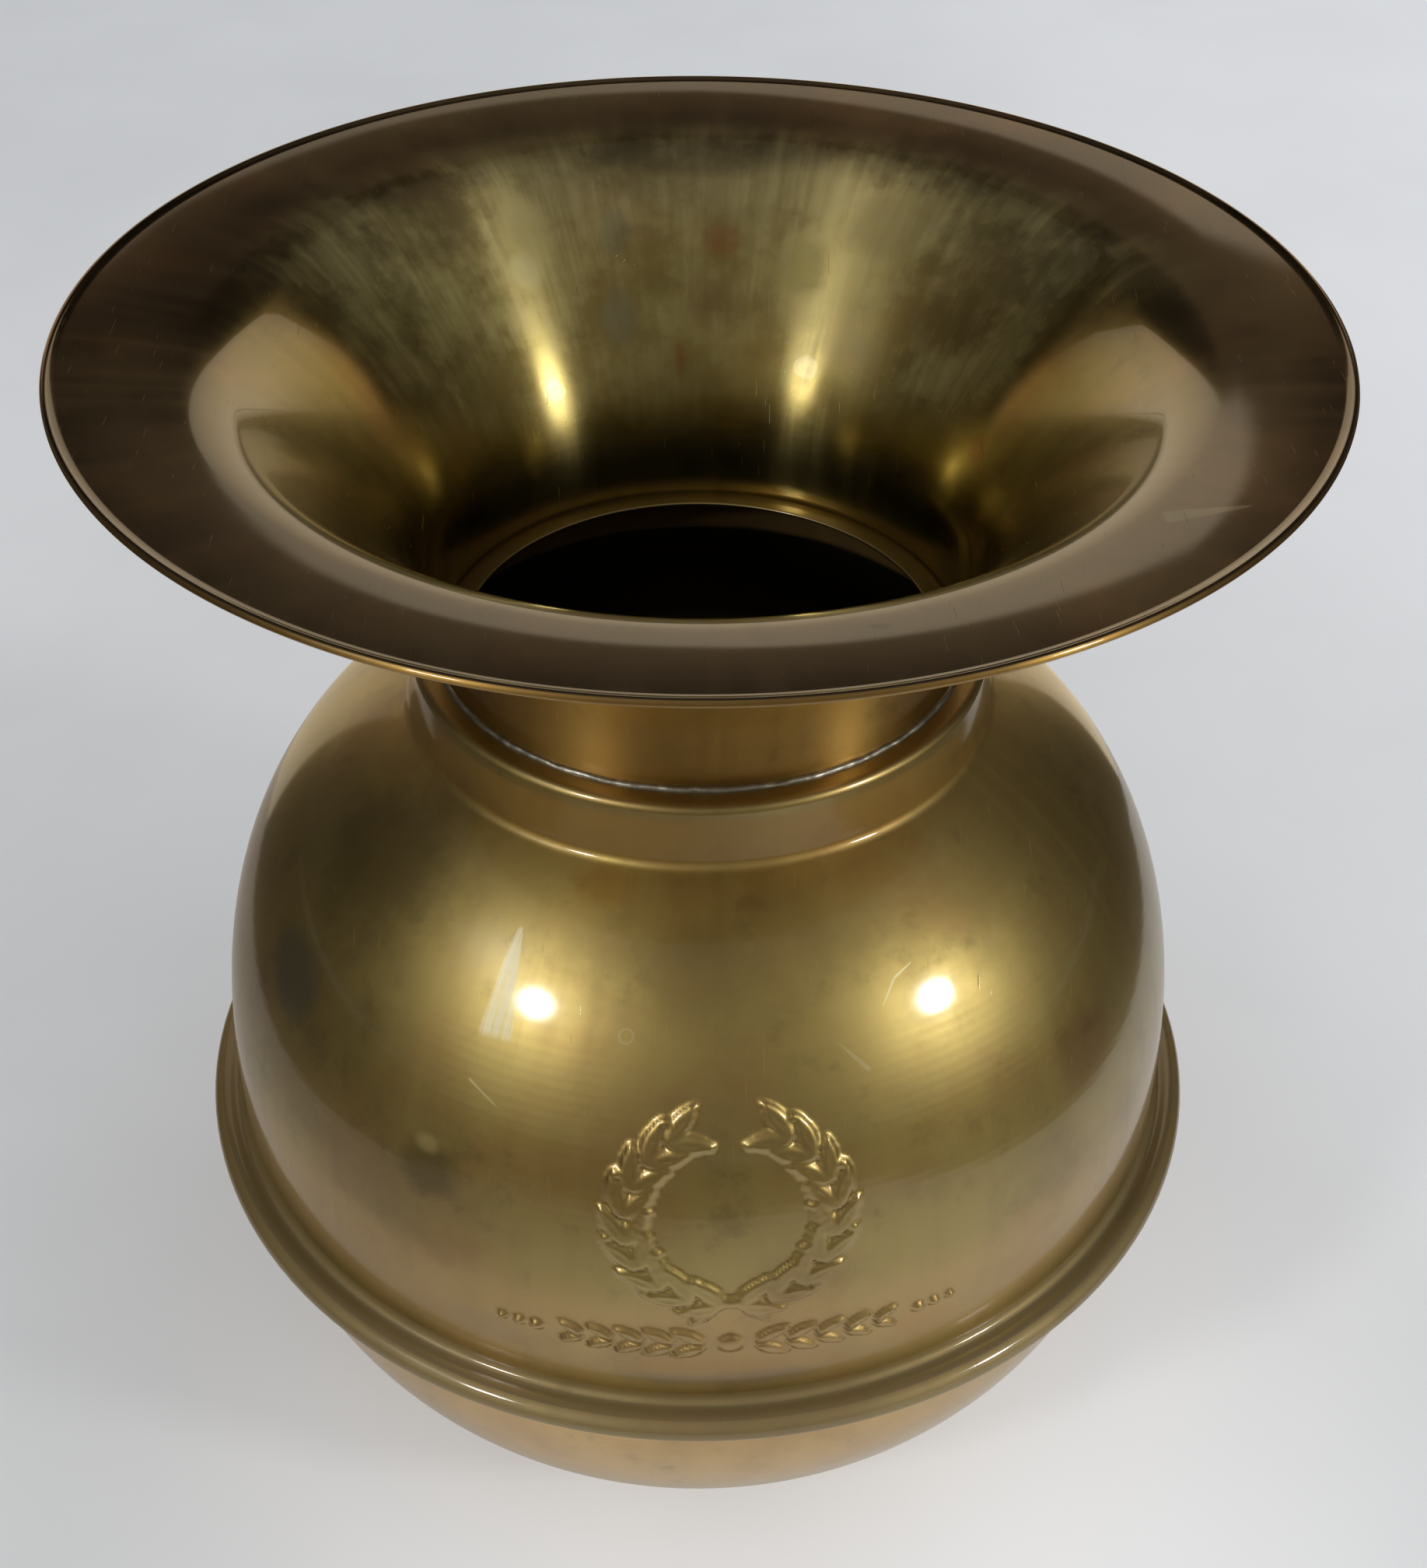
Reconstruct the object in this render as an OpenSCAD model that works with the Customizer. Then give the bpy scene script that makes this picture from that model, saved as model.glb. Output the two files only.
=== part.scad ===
// Brass spittoon: a flared mouth on a short neck, soldered to a round body in two halves.
// The top half lifts straight off the lower half. Origin at the centre of the foot, +Z up.

/* [Sheet] */
// Thickness of the spun brass sheet
sheet_t = 0.9; // [0.7:0.05:1.2]
// Clearance round and under the top half where it seats on the lower half
seat_gap = 0.3; // [0.2:0.05:0.5]
// Size of the soft-solder seams
solder_leg = 0.9; // [0.6:0.1:1.4]

/* [Mouth] */
// Radius of the mouth at its rim
rim_r = 108; // [92:1:125]
// Radius of the rounded rim edge
rim_edge_r = 0.75; // [0.6:0.05:1]
// Height of the funnel above the straight neck
flare_h = 54.3; // [48:0.1:66]
// Width of the nearly level brim
brim_w = 20.4; // [14:0.2:26]
// Slope of the brim, in degrees
brim_tilt = 8.2; // [3:0.2:13]
// Radius of the bend between wall and brim
bend_r = 18; // [12:0.5:24]
// Slope of the funnel's wall where it meets the bend, in degrees
wall_tilt = 41; // [36:0.5:46]

/* [Neck] */
// Outer radius of the neck tube
neck_r = 48.4; // [40:0.2:58]
// Straight height of the neck above its seat
neck_straight_h = 7.6; // [4:0.2:16]

/* [Collar] */
// How far the ledge reaches in under the neck tube
ledge_w = 4.2; // [2:0.1:10]
// Step from the neck out to the collar's top edge
collar_step = 4.8; // [4:0.1:9]
// How much the collar spreads down to its foot
collar_spread = 1; // [0:0.1:4]
// Height of the collar
collar_h = 11.8; // [8:0.2:18]
// Radius of the collar's rounded top edge
collar_edge_r = 1.8; // [1:0.1:2.4]
// Size of the hollow where the collar meets the shoulder
collar_cove = 1.3; // [0.8:0.1:2.5]

/* [Body] */
// Radius of the body at its widest
body_r = 95; // [84:1:110]
// Height of the belt above the table
belt_z = 69.6; // [58:0.2:84]
// Height of the widest level of the top half above its locating rim
wall_h = 2; // [1:0.1:10]
// Height of the collar's foot above that level
shoulder_h = 82.6; // [70:0.2:100]
// Fullness of the top half, where 2 is an ellipse
shoulder_power = 2.47; // [2.1:0.01:3]
// Fullness of the lower half, where 2 is an ellipse
bowl_power = 2.14; // [2:0.01:2.6]

/* [Belt] */
// Radius of the half-round belt
belt_bead_r = 2.9; // [2.4:0.1:4]
// Radius of the groove above the belt
belt_cove_r = 1.6; // [1.2:0.1:2.4]
// Width of the slope between groove and belt
belt_slope_w = 0.64; // [0.2:0.02:2]
// Rise from the groove to the belt, in degrees
belt_rise = 15; // [8:1:15]
// How far the belt's edge turns under, in degrees
belt_tuck = 12; // [5:1:20]

/* [Seat] */
// Height of the locating rim above the stop bead
spigot_h = 8; // [5:0.5:9]
// Radius of the stop bead that the top half rests on
stop_r = 1.7; // [1.4:0.1:2]
// Radius of the hollows above and below the stop bead
stop_cove_r = 0.6; // [0.4:0.1:0.8]

/* [Foot] */
// Radius of the recess under the bottom
recess_r = 43; // [34:0.2:54]
// Width of the foot ring round the recess
foot_ring_w = 4.7; // [3:0.1:10]
// Depth of the recess under the bottom
recess_h = 12; // [9:0.5:18]
// Radius of the bends at the recess
recess_edge_r = 1.2; // [1.1:0.1:1.6]

/* [Weight] */
// Gap all round the iron weight
weight_gap = 0.5; // [0.3:0.1:1]
// How far the weight's upper bevel clears the bend of the recess
weight_bevel_gap = 0.6; // [0.4:0.1:2]
// Bevel on the lower edge of the weight
weight_lower_bevel = 0.6; // [0.3:0.1:1.5]
// How far the seam under the base plate stays above the bend of the recess
plate_step = 0.1; // [0:0.05:1]
// Gap all round the base plate
plate_gap = 0.1; // [0.05:0.05:0.2]
// Size of the solder seam under the base plate
plate_solder_leg = 0.6; // [0.4:0.1:0.7]

/* [Hidden] */
$fn = 96;
brass = "#a8893f";
dark_brass = "#8f7434";
iron = "#4a4744";
solder = "#9a9a96";

// Steps along a long curve and round a small bend
long_steps = 30;
bend_steps = 6;
edge_steps = 14;

// Neck tube, with the collar and ledge set out from it
neck_inner_r = neck_r - sheet_t;
throat_r = neck_inner_r - ledge_w;
collar_top_r = neck_r + collar_step;
collar_foot_r = collar_top_r + collar_spread;

// Belt: a groove and a half-round bead, joined by a short straight slope
belt_mid_r = body_r + (belt_bead_r + belt_cove_r) * (1 + sin(belt_rise)) + belt_slope_w - belt_bead_r;
cove_z = belt_z + (belt_bead_r + belt_cove_r) * cos(belt_rise) - belt_slope_w * tan(belt_rise);

// Seat: the crown of the stop bead lies under the lowest line of the groove
spigot_r = body_r - sheet_t - seat_gap;
stop_mid_r = body_r + belt_cove_r;
stop_top_z = cove_z - belt_cove_r - sheet_t - seat_gap;
stop_z = stop_top_z - stop_r;
bowl_top_z = stop_z - stop_r - stop_cove_r;

// Levels of the top half
wall_z = stop_top_z + spigot_h + wall_h;
collar_foot_z = wall_z + shoulder_h;
seat_z = collar_foot_z + collar_h;
flare_z = seat_z + neck_straight_h;

// Foot, weight and base plate
foot_r = recess_r + foot_ring_w;
plate_z = recess_edge_r + plate_solder_leg + plate_step;
plate_top_z = plate_z + sheet_t;
weight_r = recess_r - weight_gap;
weight_bevel = recess_edge_r + weight_bevel_gap;

// Full heights of the two curves, of which the collar and the foot cut off the ends
shoulder_full = shoulder_h / pow(1 - pow(collar_foot_r / body_r, shoulder_power), 1 / shoulder_power);
bowl_full = belt_z / pow(1 - pow(foot_r / body_r, bowl_power), 1 / bowl_power);

// Points of an arc round a centre, from one angle to the other
function arc(mid, r, from, to, steps = bend_steps) =
    [for (i = [0:steps]) let (a = from + (to - from) * i / steps) mid + r * [cos(a), sin(a)]];

// Points of a soft corner that starts at a, aims at the corner and ends at b
function soft_corner(a, corner, b, steps = bend_steps) =
    [for (i = [0:steps]) let (u = i / steps) (1 - u) * (1 - u) * a + 2 * u * (1 - u) * corner + u * u * b];

// A point of a quarter curve of the given half axes and fullness, at angle a
function quarter(w, h, power, a) = [w * pow(cos(a), 2 / power), h * pow(sin(a), 2 / power)];

// The path moved sideways by d, to the right of its direction
function beside(path, d) =
    [for (i = [0:len(path) - 1])
        let (
            a = path[max(i - 1, 0)],
            b = path[min(i + 1, len(path) - 1)],
            along = (b - a) / norm(b - a)
        )
        path[i] + d * [along[1], -along[0]]];

function turned_back(path) = [for (i = [len(path) - 1:-1:0]) path[i]];

// A spun sheet whose outer face follows the path, with the body of the sheet on its right
module spun_sheet(path) {
    rotate_extrude()
        polygon(concat(path, turned_back(beside(path, sheet_t))));
}

// A round bead of sheet, to finish a cut edge
module round_edge(mid, r) {
    rotate_extrude()
        translate(mid) circle(r, $fn = 24);
}

// Funnel, set out from the rim inwards: brim, bend, and a wall that runs down into the neck
rim_face_r = rim_r - rim_edge_r - sheet_t / 2 * sin(brim_tilt);
brim_start = [rim_face_r - brim_w, flare_z + flare_h - brim_w * tan(brim_tilt)];
bend_mid = brim_start + bend_r * [sin(brim_tilt), -cos(brim_tilt)];
bend_start = bend_mid + bend_r * [-sin(wall_tilt), cos(wall_tilt)];
wall_corner = [neck_inner_r, bend_start[1] - (bend_start[0] - neck_inner_r) * tan(wall_tilt)];

// Inner face of the funnel, from the foot of the neck up to the rim
funnel_path = concat(
    [[neck_inner_r, seat_z]],
    soft_corner([neck_inner_r, flare_z], wall_corner, bend_start, long_steps),
    [for (i = [1:edge_steps])
        let (a = wall_tilt + (brim_tilt - wall_tilt) * i / edge_steps)
        bend_mid + bend_r * [-sin(a), cos(a)]],
    [[rim_face_r, flare_z + flare_h]]
);

module mouth_funnel() {
    rim_mid = beside(funnel_path, sheet_t / 2)[len(funnel_path) - 1];
    color(brass) union() {
        spun_sheet(funnel_path);
        round_edge(rim_mid, rim_edge_r);
    }
}

module neck_solder() {
    color(solder)
        rotate_extrude()
            translate([neck_r, seat_z])
                intersection() {
                    circle(solder_leg, $fn = 32);
                    square(solder_leg);
                }
}

// Outer face of the top half, from the ledge down to the edge of the belt
ledge_path = concat(
    [[throat_r, seat_z]],
    arc([collar_top_r - collar_edge_r, seat_z - collar_edge_r], collar_edge_r, 90, 0)
);
shoulder_start_a = acos(pow((collar_foot_r + collar_cove) / body_r, shoulder_power / 2));

function shoulder_point(a) = [0, wall_z] + quarter(body_r, shoulder_full, shoulder_power, a);

collar_path = soft_corner(
    [collar_foot_r, collar_foot_z + collar_cove],
    [collar_foot_r, collar_foot_z],
    shoulder_point(shoulder_start_a)
);
shoulder_path = [for (i = [1:long_steps]) shoulder_point(shoulder_start_a * (1 - i / long_steps))];
belt_path = concat(
    arc([body_r + belt_cove_r, cove_z], belt_cove_r, 180, 270 + belt_rise),
    arc([belt_mid_r, belt_z], belt_bead_r, 90 + belt_rise, -belt_tuck, edge_steps)
);

module upper_bowl() {
    tip = [belt_mid_r, belt_z] + (belt_bead_r - sheet_t / 2) * [cos(-belt_tuck), sin(-belt_tuck)];
    color(brass) union() {
        spun_sheet(concat(ledge_path, collar_path, shoulder_path, belt_path));
        round_edge(tip, sheet_t / 2);
    }
}

// Outer face of the lower half, from the locating rim down to the middle of the bottom
bowl_start_a = asin(pow((belt_z - bowl_top_z) / bowl_full, bowl_power / 2));
bowl_end_a = acos(pow(foot_r / body_r, bowl_power / 2));

function bowl_point(a) =
    let (p = quarter(body_r, bowl_full, bowl_power, a))
    [p[0], belt_z - p[1]];

seat_path = concat(
    [[spigot_r, stop_top_z + spigot_h]],
    arc([spigot_r + stop_cove_r, stop_top_z + stop_cove_r], stop_cove_r, 180, 270),
    arc([stop_mid_r, stop_z], stop_r, 90, -90, edge_steps),
    arc([body_r + stop_cove_r, bowl_top_z], stop_cove_r, 90, 180)
);
bowl_path = [
    for (i = [1:long_steps]) bowl_point(bowl_start_a + (bowl_end_a - bowl_start_a) * i / long_steps)
];
recess_path = concat(
    arc([recess_r + recess_edge_r, recess_edge_r], recess_edge_r, 270, 180),
    arc([recess_r - recess_edge_r, recess_h - recess_edge_r], recess_edge_r, 0, 90),
    [[0, recess_h]]
);

module lower_bowl() {
    color(brass)
        spun_sheet(concat(seat_path, bowl_path, recess_path));
}

module ballast_disc() {
    color(iron)
        rotate_extrude()
            polygon([
                [0, plate_top_z],
                [weight_r - weight_lower_bevel, plate_top_z],
                [weight_r, plate_top_z + weight_lower_bevel],
                [weight_r, recess_h - weight_bevel],
                [weight_r - weight_bevel, recess_h],
                [0, recess_h]
            ]);
}

module base_plate() {
    color(dark_brass)
        translate([0, 0, plate_z])
            cylinder(h = sheet_t, r = recess_r - plate_gap);
}

module base_solder() {
    color(solder)
        rotate_extrude()
            translate([recess_r, plate_z])
                polygon([[0, 0], [-plate_solder_leg, 0], [0, -plate_solder_leg]]);
}

mouth_funnel();
neck_solder();
upper_bowl();
lower_bowl();
ballast_disc();
base_plate();
base_solder();
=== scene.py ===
"""Brass spittoon: spun brass sheets, soft-solder seams and an embossed wreath, dressed and lit for a picture.

Sizes of the object are in millimetres, as on its workshop drawing, and its meshes are made in metres.
The object stands on z = 0 with its axis on the Z axis, and its ornament faces -Y.
"""

import logging
import math
from collections.abc import Callable
from dataclasses import dataclass, field
from enum import Enum

import bmesh
import bpy
import numpy as np
from mathutils import Matrix, Vector, noise


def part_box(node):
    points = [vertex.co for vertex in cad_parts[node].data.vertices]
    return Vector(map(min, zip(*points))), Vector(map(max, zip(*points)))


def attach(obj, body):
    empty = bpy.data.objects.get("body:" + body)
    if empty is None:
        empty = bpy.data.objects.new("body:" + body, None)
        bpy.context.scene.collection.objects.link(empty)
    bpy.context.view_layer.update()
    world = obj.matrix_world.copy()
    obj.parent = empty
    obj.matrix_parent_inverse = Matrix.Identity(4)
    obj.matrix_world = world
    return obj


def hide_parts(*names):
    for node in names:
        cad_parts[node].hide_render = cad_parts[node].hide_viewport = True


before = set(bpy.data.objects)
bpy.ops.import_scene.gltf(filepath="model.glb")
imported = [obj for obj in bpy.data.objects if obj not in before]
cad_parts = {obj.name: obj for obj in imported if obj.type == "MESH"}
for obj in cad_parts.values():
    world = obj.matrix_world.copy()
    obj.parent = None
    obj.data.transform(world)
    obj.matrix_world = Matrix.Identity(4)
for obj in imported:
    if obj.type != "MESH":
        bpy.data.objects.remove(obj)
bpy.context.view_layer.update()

log = logging.getLogger("spittoon")

MM = 0.001

# Blender's names of the nodes that the finishes use most, and the setting that softens a mask's edges.
MATH = "ShaderNodeMath"
VECTOR_MATH = "ShaderNodeVectorMath"
MAP_RANGE = "ShaderNodeMapRange"
NOISE_TEXTURE = "ShaderNodeTexNoise"
SEPARATE = "ShaderNodeSeparateXYZ"
BUMP = "ShaderNodeBump"
PRINCIPLED = "ShaderNodeBsdfPrincipled"
EMISSION = "ShaderNodeEmission"
SOFT = {"interpolation_type": "SMOOTHSTEP"}

Point = tuple[float, float]
Triple = tuple[float, float, float]
Colour = tuple[float, float, float, float]
Socket = bpy.types.NodeSocket


def linear(hex_colour: str, strength: float = 1.0) -> Colour:
    """Turns an sRGB colour into the linear values that Blender's sockets take.

    Args:
        hex_colour: six hex digits, red first.
        strength: what the linear values are multiplied by.

    Returns:
        Red, green, blue and an alpha of 1.
    """
    channels = []
    for start in (0, 2, 4):
        value = int(hex_colour[start:start + 2], 16) / 255
        value = value / 12.92 if value <= 0.04045 else ((value + 0.055) / 1.055) ** 2.4
        channels.append(value * strength)
    return (channels[0], channels[1], channels[2], 1.0)


def arc(mid: Point, r: float, start: float, end: float, steps: int) -> list[Point]:
    """Gives points along a circle's arc.

    Args:
        mid: centre of the circle.
        r: its radius.
        start: first angle in degrees, from the r axis towards +Z.
        end: last angle in degrees.
        steps: number of equal steps between them.

    Returns:
        The points, one more than the steps.
    """
    angles = [math.radians(start + (end - start) * i / steps) for i in range(steps + 1)]
    return [(mid[0] + r * math.cos(a), mid[1] + r * math.sin(a)) for a in angles]


def soft_corner(a: Point, corner: Point, b: Point, steps: int) -> list[Point]:
    """Gives points along a curve that leaves a towards the corner and reaches b from it.

    Args:
        a: first point.
        corner: point that both ends aim at.
        b: last point.
        steps: number of steps along the curve.

    Returns:
        The points, one more than the steps.
    """
    points = []
    for i in range(steps + 1):
        u = i / steps
        weights = ((1 - u) ** 2, 2 * u * (1 - u), u ** 2)
        points.append(tuple(sum(w * p[k] for w, p in zip(weights, (a, corner, b))) for k in (0, 1)))
    return points


def quarter(w: float, h: float, fullness: float, angle: float) -> Point:
    """Gives a point of a quarter curve that is fuller than an ellipse.

    Args:
        w: half axis across.
        h: half axis upwards.
        fullness: exponent, where 2 is an ellipse.
        angle: how far along the curve, in radians from the widest point.

    Returns:
        Distance across and height.
    """
    return w * math.cos(angle) ** (2 / fullness), h * math.sin(angle) ** (2 / fullness)


def direction(path: list[Point], i: int) -> Point:
    """Gives the unit direction of a path at one of its points.

    Args:
        path: the points.
        i: index of the point.

    Returns:
        The direction, from the point before to the point after.
    """
    a = path[max(i - 1, 0)]
    b = path[min(i + 1, len(path) - 1)]
    size = math.dist(a, b)
    return (b[0] - a[0]) / size, (b[1] - a[1]) / size


def beside(path: list[Point], d: float) -> list[Point]:
    """Moves a path sideways.

    Args:
        path: the points.
        d: distance to the right of its direction.

    Returns:
        The moved path.
    """
    moved = []
    for i, point in enumerate(path):
        along = direction(path, i)
        moved.append((point[0] + d * along[1], point[1] - d * along[0]))
    return moved


def rounded_end(path: list[Point], i: int, sheet: float, r: float, steps: int = 10) -> list[Point]:
    """Gives the rounded edge of a sheet, from its outer face round to its inner face.

    Args:
        path: the outer face.
        i: index of the path's end that the edge closes, 0 or -1.
        sheet: thickness of the sheet.
        r: radius of the rounded edge, at least half the sheet.
        steps: number of steps round it.

    Returns:
        The points of the edge.
    """
    first = i == 0
    along = direction(path, 0 if first else len(path) - 1)
    sign = -1.0 if first else 1.0
    out = (-along[1], along[0])
    mid = (path[i][0] - out[0] * sheet / 2, path[i][1] - out[1] * sheet / 2)
    open_angle = math.asin(min(1.0, sheet / 2 / r))
    points = []
    for k in range(steps + 1):
        turn = open_angle + (2 * math.pi - 2 * open_angle) * k / steps
        back, side = -r * math.cos(turn) * sign, r * math.sin(turn)
        points.append((mid[0] + back * along[0] + side * out[0], mid[1] + back * along[1] + side * out[1]))
    return points


def spread(path: list[Point], low: float, high: float, spacing: float) -> list[Point]:
    """Adds points to the stretch of a path between two heights, so that it takes fine relief.

    Args:
        path: the points.
        low: lowest height that needs fine points.
        high: highest one.
        spacing: largest distance between neighbours there.

    Returns:
        The path with the added points.
    """
    fine = [path[0]]
    for a, b in zip(path, path[1:]):
        inside = low <= (a[1] + b[1]) / 2 <= high
        count = max(1, math.ceil(math.dist(a, b) / spacing)) if inside else 1
        for k in range(1, count + 1):
            fine.append((a[0] + (b[0] - a[0]) * k / count, a[1] + (b[1] - a[1]) * k / count))
    return fine


@dataclass
class Sweep:
    """How a section is swept round the axis: an arc at the front with its own step count, then the rest."""

    front_deg: float = 0.0
    front_steps: int = 0
    rest_steps: int = 300
    middle_deg: float = -90.0

    def spin(self, shell: bmesh.types.BMesh, geom: list) -> None:
        """Spins the section once round the Z axis.

        Args:
            shell: the mesh that holds the section in the XZ plane.
            geom: the section's vertices and edges.
        """
        verts = [g for g in geom if isinstance(g, bmesh.types.BMVert)]
        start = Matrix.Rotation(math.radians(self.middle_deg - self.front_deg / 2), 3, "Z")
        bmesh.ops.rotate(shell, verts=verts, cent=(0, 0, 0), matrix=start)
        whole = {"cent": (0, 0, 0), "axis": (0, 0, 1)}
        if self.front_steps == 0:
            turn = 2 * math.pi
            bmesh.ops.spin(shell, geom=geom, angle=turn, steps=self.rest_steps, use_merge=True, **whole)
            return
        front = math.radians(self.front_deg)
        swept = bmesh.ops.spin(shell, geom=geom, angle=front, steps=self.front_steps, **whole)
        rest = 2 * math.pi - front
        bmesh.ops.spin(shell, geom=swept["geom_last"], angle=rest, steps=self.rest_steps, **whole)


def spun_piece(name: str, section: list[Point], sweep: Sweep, closed: bool = True) -> bpy.types.Object:
    """Makes a piece that is spun round the Z axis.

    Args:
        name: the piece's name.
        section: points of its section, as radius and height in millimetres.
        sweep: how finely it is swept.
        closed: True when the section is a loop, False when both its ends lie on the axis.

    Returns:
        The new object, with smooth faces that point outwards.
    """
    shell = bmesh.new()
    verts = [shell.verts.new((r * MM, 0, z * MM)) for r, z in section]
    pairs = list(zip(verts, verts[1:]))
    if closed:
        pairs.append((verts[-1], verts[0]))
    edges = [shell.edges.new(pair) for pair in pairs]
    sweep.spin(shell, verts + edges)
    bmesh.ops.remove_doubles(shell, verts=shell.verts, dist=0.002 * MM)
    bmesh.ops.recalc_face_normals(shell, faces=shell.faces)
    for face in shell.faces:
        face.smooth = True
    mesh = bpy.data.meshes.new(name)
    shell.to_mesh(mesh)
    shell.free()
    piece = bpy.data.objects.new(name, mesh)
    bpy.context.scene.collection.objects.link(piece)
    return piece


def push(piece: bpy.types.Object, height_mm: Callable[[np.ndarray], np.ndarray]) -> None:
    """Moves every point of a piece along its normal.

    Args:
        piece: the piece.
        height_mm: gives the distance for each point, from the points in millimetres.
    """
    mesh = piece.data
    count = len(mesh.vertices)
    places = np.empty(count * 3)
    mesh.vertices.foreach_get("co", places)
    normals = np.empty(count * 3, np.float32)
    mesh.vertex_normals.foreach_get("vector", normals)
    places = places.reshape(-1, 3)
    moved = places + normals.reshape(-1, 3) * height_mm(places / MM)[:, None] * MM
    mesh.vertices.foreach_set("co", moved.ravel())
    mesh.update()


def hand_work(size_mm: float, depth_mm: float, seed: float) -> Callable[[np.ndarray], np.ndarray]:
    """Gives the slight unevenness that hand spinning and use leave, always inwards.

    Args:
        size_mm: size of one hollow.
        depth_mm: depth of the deepest ones.
        seed: picks another pattern.

    Returns:
        A function for push.
    """
    def height(places: np.ndarray) -> np.ndarray:
        """Gives the depth at each place.

        Args:
            places: the points, in millimetres.

        Returns:
            The depths, none above 0.
        """
        scaled = places / size_mm + seed
        wave = np.array([noise.noise(Vector(p)) for p in scaled])
        return depth_mm * (np.clip(wave, -1, 1) - 1) / 2
    return height


@dataclass
class Leaf:
    """One laurel leaf of the relief, with a raised rim and a sunk rib."""

    mid: Point
    turn_deg: float
    length: float
    width: float

    def height(self, u: np.ndarray, v: np.ndarray) -> np.ndarray:
        """Gives the leaf's height, from 0 outside it to 1 on its back.

        Args:
            u: place across the ornament.
            v: place up the ornament.

        Returns:
            The height at each place.
        """
        c, s = math.cos(math.radians(self.turn_deg)), math.sin(math.radians(self.turn_deg))
        along = ((u - self.mid[0]) * c + (v - self.mid[1]) * s) / (self.length / 2)
        across = (-(u - self.mid[0]) * s + (v - self.mid[1]) * c) / (self.width / 2)
        body = np.clip(1 - along ** 2, 0, 1) * (1 - 0.25 * along)
        side = np.abs(across) / np.maximum(body, 1e-3)
        dome = np.sqrt(np.clip(1 - side ** 2, 0, 1)) * np.clip(body * 3, 0, 1)
        rib = 0.35 * np.exp(-(across / 0.16) ** 2) * np.clip(1 - np.abs(along), 0, 1)
        return np.where(side < 1, np.clip(dome - rib, 0, 1), 0)


@dataclass
class Bead:
    """One round bead of the relief."""

    mid: Point
    r: float

    def height(self, u: np.ndarray, v: np.ndarray) -> np.ndarray:
        """Gives the bead's height, from 0 outside it to 1 at its top, for places u and v."""
        away = ((u - self.mid[0]) ** 2 + (v - self.mid[1]) ** 2) / self.r ** 2
        return np.sqrt(np.clip(1 - away, 0, 1))


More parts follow.
